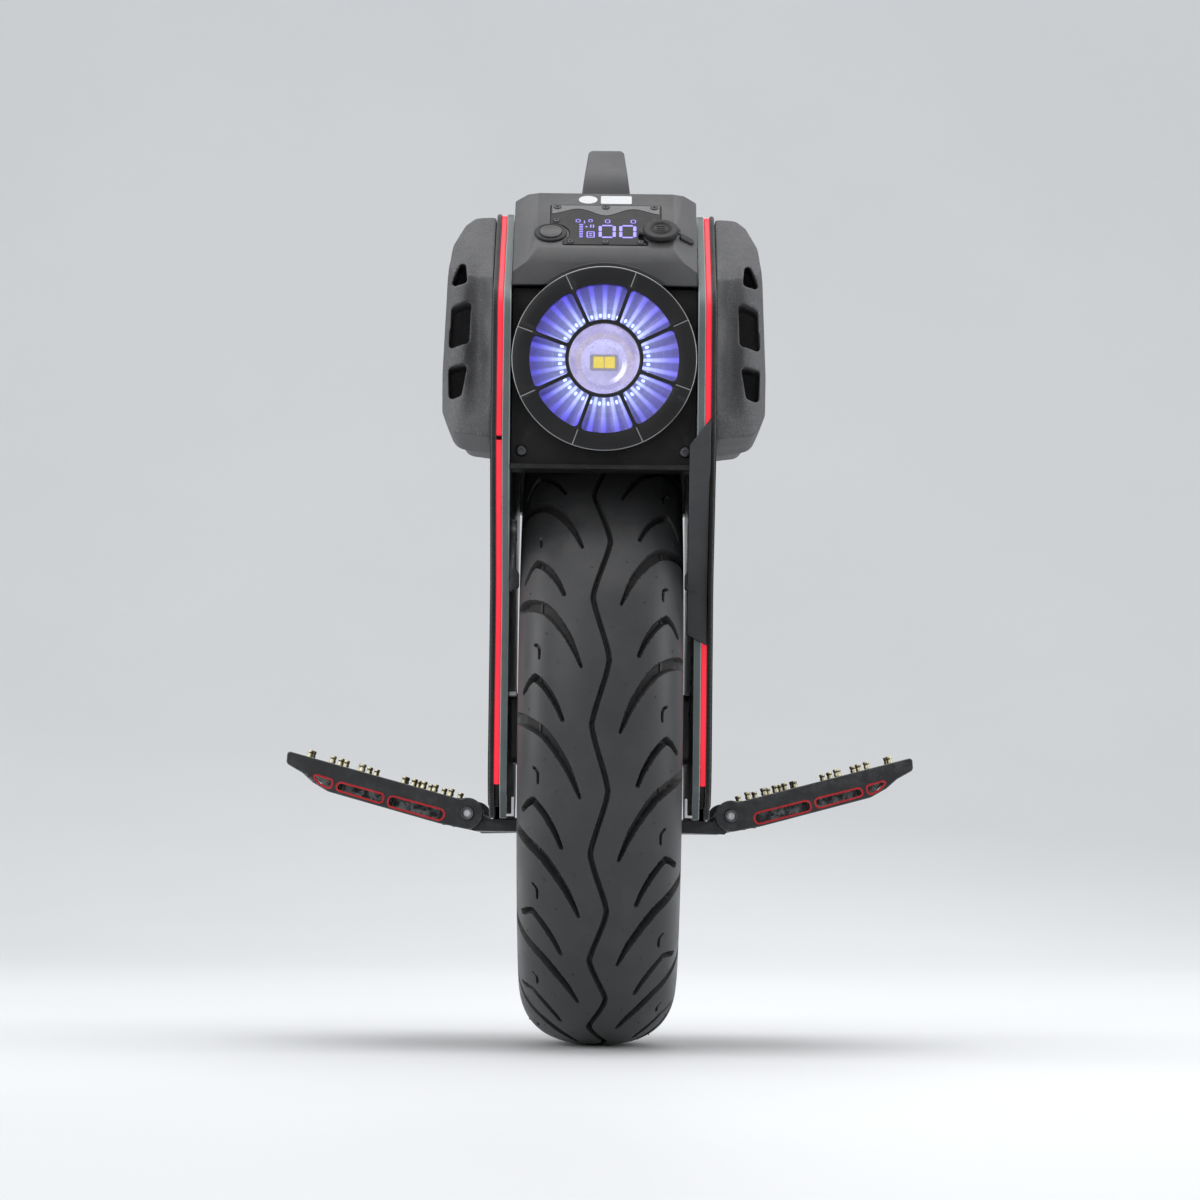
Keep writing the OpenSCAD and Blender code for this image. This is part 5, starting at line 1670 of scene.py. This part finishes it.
# Outlines in millimetres, outward and up from the pin; a third value is a corner's radius.
PEDAL_WINDOWS = [[(14.5, -2.6, 2.5), (50, -2.9, 2), (50, -8.6, 2), (14.5, -8.6, 2.5)],
    [(54.5, -3.2, 2), (84, -3.4, 2), (84, -7.6, 1.6), (54.5, -8.3, 2)],
    [(88.5, -3.2, 1.2), (101, -3, 0.6), (95.5, -6.8, 0.8), (88.5, -8.2, 1.2)]]
PEDAL_RIBS = [[(18.1, 3.4), (18.1, -9.4), (47.9, -9.4), (47.9, 3.4)],
    [(52.1, 3.4), (52.1, -9), (81.9, -9), (81.9, 3.4)],
    [(86.1, 3.4), (86.1, -9.8), (96, -7.3), (104, -3.2), (104, 3.4)]]


def at_pin(side):
    """Matrix of a pedal's own frame: outward, along, and up from its pin."""
    turn = Matrix.Translation((PIN.x, 0, PIN.z)) @ Matrix.Rotation(-PEDAL_TILT, 4, "Y")
    flip = Matrix.Diagonal((side, 1, 1, 1))
    return flip @ turn


def grown(outline, reach):
    """An outline moved outwards by a distance, away from its middle."""
    middle = sum((Vector(point) for point in outline), Vector((0, 0))) / len(outline)
    result = []
    for i, point in enumerate(outline):
        along = Vector(outline[(i + 1) % len(outline)]) - Vector(outline[i - 1])
        outward = Vector((along.y, -along.x)).normalized()
        if outward.dot(Vector(point) - middle) < 0:
            outward.negate()
        result.append(tuple(Vector(point) + outward * reach))
    return result


def make_pedal_edges(side):
    """Red anodised edges round the windows in a pedal's two end faces."""
    node = "pedal_" + side_name(side)
    depth, edge_w = 0.5 * MM, 1.2 * MM
    rings = []
    for window in PEDAL_WINDOWS:
        inner = rounded(mm(*window))
        for end in (-1, 1):
            ring = outline_piece("window_edge", grown(inner, edge_w), depth)
            hole = outline_piece("window_hole", inner, 3 * depth)
            cut(ring, moved(hole, Matrix.Translation((0, 0, -depth))))
            place = Matrix.Translation((0, end * PEDAL_HALF_L + depth / 2, 0))
            rings.append(moved(ring, at_pin(side) @ place @ UPRIGHT))
    piece = paint(joined(node + "_red_edges", rings), "red_edge")
    return fitted(piece, body_of_node(node), material_slot(node))


def make_pedal_ribs(side):
    """Cross walls in a pedal's hollows, which close its windows."""
    node = "pedal_" + side_name(side)
    rib_t = 3.2 * MM
    ribs = []
    for y in (-62 * MM, 0, 62 * MM):
        for outline in PEDAL_RIBS:
            place = Matrix.Translation((0, y + rib_t / 2, 0)) @ UPRIGHT
            ribs.append(moved(outline_piece("rib", mm(*outline), rib_t), at_pin(side) @ place))
    piece = paint(joined(node + "_ribs", ribs), "pedal_metal")
    return fitted(piece, body_of_node(node), material_slot(node))


def make_pedal(side):
    """A cast pedal with rounded, rubbed edges whose lighter rim finish is partly wear and partly
    a painted highlight, and its cross walls.
    """
    make_pedal_ribs(side)
    return paint(dressed("pedal_" + side_name(side), 0.6 * MM), "pedal_metal", "pedal_rim_worn_and_highlit")


def make_studs(side):
    """Short hollow posts screwed into the pedal's top."""
    stud = turned("stud", mm((0, -1.5), (1.45, -1.5), (1.45, 0.2), (2, 0.3), (2, 2),
        (1.75, 2.3), (1.75, 3), (2, 3.3), (2, 4.7), (1.8, 5), (1.3, 5), (1.1, 4.8), (1, 2.6),
        (0, 2.4)), 20)
    smooth(paint(stud, "stud_metal"), 40)
    places = []
    for end in (-1, 1):
        for u, y in STUDS:
            places.append(at_pin(side) @ Matrix.Translation((u * MM, end * y * MM, 7.5 * MM)))
    name = side_name(side)
    node = f"pedal_studs_{name}"
    return spread(stud, f"stud_posts_{name}", places, body_of_node(node), "stud_metal", node)


def make_pin_ends(side):
    """Round bolt heads with bright middles at both ends of a pedal's pin."""
    name = side_name(side)
    parts, middles = [], []
    for end in (-1, 1):
        place = (Matrix.Translation((side * PIN.x, end * (PEDAL_HALF_L + 0.3 * MM), PIN.z))
            @ Matrix.Rotation(end * -math.pi / 2, 4, "X"))
        ring = turned("ring", mm((2.4, 0), (4.4, 0), (4.4, 0.7), (4, 1.3), (3, 1.3),
            (2.4, 0.8)), 32)
        parts.append(moved(ring, place))
        middle = turned("middle", mm((0, 0), (2, 0), (2, 0.6), (1.7, 0.9), (0.8, 0.9),
            (0.6, 0.5), (0, 0.5)), 24)
        middles.append(moved(middle, place))
    rings = smooth(paint(joined(f"pin_rings_{name}", parts), "dark_screws"), 40)
    fitted(rings, "frame", "bare_steel", f"pedal_pin_{name}")
    shaft = rod(f"pin_shaft_{name}", 2.9 * MM, pin_high.y - pin_low.y - 3 * MM,
        (side * PIN.x, 0, PIN.z), (math.pi / 2, 0, 0))
    middles.append(shaft)
    bright = smooth(paint(joined(f"pin_bright_{name}", middles), "bare_steel"), 40)
    fitted(bright, "frame", "bare_steel", f"pedal_pin_{name}")


def make_bracket(side):
    """Bright bent clips at the foot of a plate, front and rear."""
    outline = rounded(mm((-1.2, 0, 0.3), (3.6, 0, 0.3), (3.6, 1.4, 0.3), (0.4, 1.4, 0.8),
        (0.4, 12, 0.3), (-1.2, 12, 0.3)), 3)
    clip_w = 9 * MM
    clips = []
    for end in (-1, 1):
        clip = outline_piece("clip", [(side * x, z) for x, z in outline], clip_w)
        place = Matrix.Translation((side * 54.8 * MM, end * 136 * MM + clip_w / 2, 148.2 * MM))
        clips.append(moved(clip, place @ UPRIGHT))
    piece = face_outwards(joined("leg_clips_" + side_name(side), clips))
    return fitted(smooth(paint(piece, "bare_steel"), 40), "frame", "bare_steel")


class UNICYCLE_OT_pedals(bpy.types.Operator):
    """Adds both pedals with their studs, pin ends and clips"""
    bl_idname = "unicycle.pedals"
    bl_label = "Pedals"

    def execute(self, context):
        for side in (-1, 1):
            make_pedal(side)
            make_pedal_edges(side)
            make_studs(side)
            make_pin_ends(side)
            make_bracket(side)
        return {"FINISHED"}


# ---- hub ----
def make_stub_bolt():
    """The bright end of the motor's clamp bolt inside the left plate."""
    shape = turned("clamp_bolt", mm((0, 0), (2.2, 0), (2.2, 4.6), (1.8, 5), (0, 5)), 24)
    moved(shape, facing_side(-57.9 * MM, -118 * MM, 226 * MM))
    return fitted(smooth(paint(shape, "bare_steel"), 40), "frame", "bare_steel")


def make_leg_bracket(side):
    """A dark bracket inside a plate's leg, with a step half way down."""
    outline = rounded(mm((51.9, 292, 1), (57.9, 288, 1), (57.9, 334, 1), (53.6, 334, 1),
        (53.6, 322, 1), (54.3, 316, 1), (54.3, 304, 1), (51.9, 300, 1)), 3)
    shape = outline_piece("leg_bracket_" + side_name(side),
        [(side * x, z) for x, z in outline], 9 * MM)
    moved(shape, Matrix.Translation((0, -143 * MM, 0)) @ UPRIGHT)
    bevelled(face_outwards(shape), 0.35 * MM, 2)
    return fitted(smooth(paint(shape, "pedal_metal"), 40), "frame", "black_shell")


class UNICYCLE_OT_hub(bpy.types.Operator):
    """Adds the motor covers, a clamp bolt and the brackets inside the legs"""
    bl_idname = "unicycle.hub"
    bl_label = "Hub"

    def execute(self, context):
        for side in (-1, 1):
            paint(dressed("motor_cover_" + side_name(side), 0.5 * MM), "dark_cast")
        make_stub_bolt()
        make_leg_bracket(-1)
        make_leg_bracket(1)
        return {"FINISHED"}


# ---- stage ----
def studio_light(name, place, target, size, power):
    """A soft rectangular light that faces its target."""
    bpy.ops.object.light_add(type="AREA", location=place)
    light = bpy.context.active_object
    light.name = name
    light.rotation_euler = (Vector(target) - Vector(place)).to_track_quat("-Z", "Y").to_euler()
    light.data.shape = "RECTANGLE"
    light.data.size, light.data.size_y = size
    light.data.energy = power
    return light


def floor_finish(look):
    """Matt, pale and very slightly uneven."""
    material, tree, shader = start_material("floor_finish", specular_ior_level=0.3)
    tone = place_group(tree, "mottle", color=look.floor, scale=1.2, amount=0.03)
    link(tree, tone["Color"], shader.inputs["Base Color"])
    rough = math_node(tree, "ADD", 0.55, math_node(tree, "MULTIPLY", tone["Mask"], 0.08))
    link(tree, rough, shader.inputs["Roughness"])
    return material


def make_floor():
    """One pale sheet that curves up behind the object."""
    far, high, bend = 4.2, 7.0, 2.2
    profile = [(-6.0, 0.0), (far - bend, 0.0)]
    for k in range(1, 17):
        angle = math.pi / 2 * k / 16
        profile.append((far - bend + bend * math.sin(angle), bend - bend * math.cos(angle)))
    profile.append((far, high))
    deselect()
    bpy.ops.mesh.primitive_grid_add(x_subdivisions=1, y_subdivisions=len(profile) - 1, size=2)
    floor = added("studio_floor")
    for k, (y, z) in enumerate(profile):
        for side in range(2):
            floor.data.vertices[2 * k + side].co = ((-9, 9)[side], y, z)
    activate(floor)
    bpy.ops.mesh.customdata_custom_splitnormals_clear()
    return smooth(floor, 60)


class UNICYCLE_OT_stage(bpy.types.Operator):
    """Adds the pale floor, the soft lights and the camera"""
    bl_idname = "unicycle.stage"
    bl_label = "Stage"

    def execute(self, context):
        look = context.scene.unicycle_stage
        floor = make_floor()
        floor.data.materials.append(floor_finish(look))
        middle = (0, 0, 0.3)
        lights = [
            studio_light("top_softbox", (0, -0.2, 2.3), middle, (2.2, 2.2), 26),
            studio_light("front_softbox", (-1.5, -2.4, 1.6), middle, (1.6, 1.6), 15),
            studio_light("left_softbox", (-2.4, -0.2, 0.9), middle, (1.0, 2.0), 18),
            studio_light("right_softbox", (2.4, -0.4, 0.9), middle, (1.0, 2.0), 16),
            studio_light("rear_softbox", (0.6, 2.2, 1.4), middle, (1.6, 1.2), 12),
        ]
        world = bpy.data.worlds.new("studio_air")
        world.use_nodes = True
        air = world.node_tree.nodes["Background"]
        air.inputs["Color"].default_value = (0.96, 0.975, 1.0, 1)
        air.inputs["Strength"].default_value = 0.72
        context.scene.world = world
        bpy.ops.object.camera_add(location=(-0.001, -look.camera_distance,
            look.camera_height))
        camera = context.active_object
        camera.name = "studio_camera"
        turn = (Matrix.Rotation(math.pi / 2 + look.camera_rise, 4, "X")
            @ Matrix.Rotation(math.radians(0.63), 4, "Z"))
        camera.rotation_euler = turn.to_euler()
        camera.data.lens = look.lens
        camera.data.sensor_width = 36
        context.scene.camera = camera
        context.scene.view_settings.view_transform = "Standard"
        return {"FINISHED"}


# ---- panel and start ----
PIECES = (
    UNICYCLE_OT_tyre,
    UNICYCLE_OT_shells,
    UNICYCLE_OT_screws,
    UNICYCLE_OT_side_strips,
    UNICYCLE_OT_side_covers,
    UNICYCLE_OT_pads,
    UNICYCLE_OT_headlight,
    UNICYCLE_OT_display,
    UNICYCLE_OT_tail_light,
    UNICYCLE_OT_pedals,
    UNICYCLE_OT_hub,
    UNICYCLE_OT_stage,
)
LOOKS = (("unicycle_tyre", TyreLook), ("unicycle_body", BodyLook), ("unicycle_lamp", LampLook),
    ("unicycle_stage", StageLook))


class UNICYCLE_PT_pieces(bpy.types.Panel):
    """Lists the unicycle's pieces"""
    bl_idname = "UNICYCLE_PT_pieces"
    bl_label = "Unicycle"
    bl_space_type = "VIEW_3D"
    bl_region_type = "UI"
    bl_category = "Unicycle"

    def draw(self, context):
        for operator in PIECES:
            self.layout.operator(operator.bl_idname)
        for name, look in LOOKS:
            settings = getattr(context.scene, name)
            for key in look.__annotations__:
                self.layout.prop(settings, key)


def register():
    """Adds the classes and the settings to Blender."""
    for kind in [look for _, look in LOOKS] + list(PIECES) + [UNICYCLE_PT_pieces]:
        bpy.utils.register_class(kind)
    for name, look in LOOKS:
        setattr(bpy.types.Scene, name, PointerProperty(type=look))


def unregister():
    """Takes the classes and the settings out again."""
    for name, _ in LOOKS:
        delattr(bpy.types.Scene, name)
    for kind in [UNICYCLE_PT_pieces] + list(PIECES) + [look for _, look in LOOKS]:
        bpy.utils.unregister_class(kind)


def main():
    """Builds every finish and piece, then the stage."""
    register()
    build_shader_groups()
    finishes.update(build_finishes(bpy.context.scene))
    paint_frame()
    bpy.ops.unicycle.tyre()
    bpy.ops.unicycle.shells()
    bpy.ops.unicycle.screws()
    bpy.ops.unicycle.side_strips()
    bpy.ops.unicycle.side_covers()
    bpy.ops.unicycle.pads()
    bpy.ops.unicycle.headlight()
    bpy.ops.unicycle.display()
    bpy.ops.unicycle.tail_light()
    bpy.ops.unicycle.pedals()
    bpy.ops.unicycle.hub()
    bpy.ops.unicycle.stage()


if __name__ == "__main__":
    main()
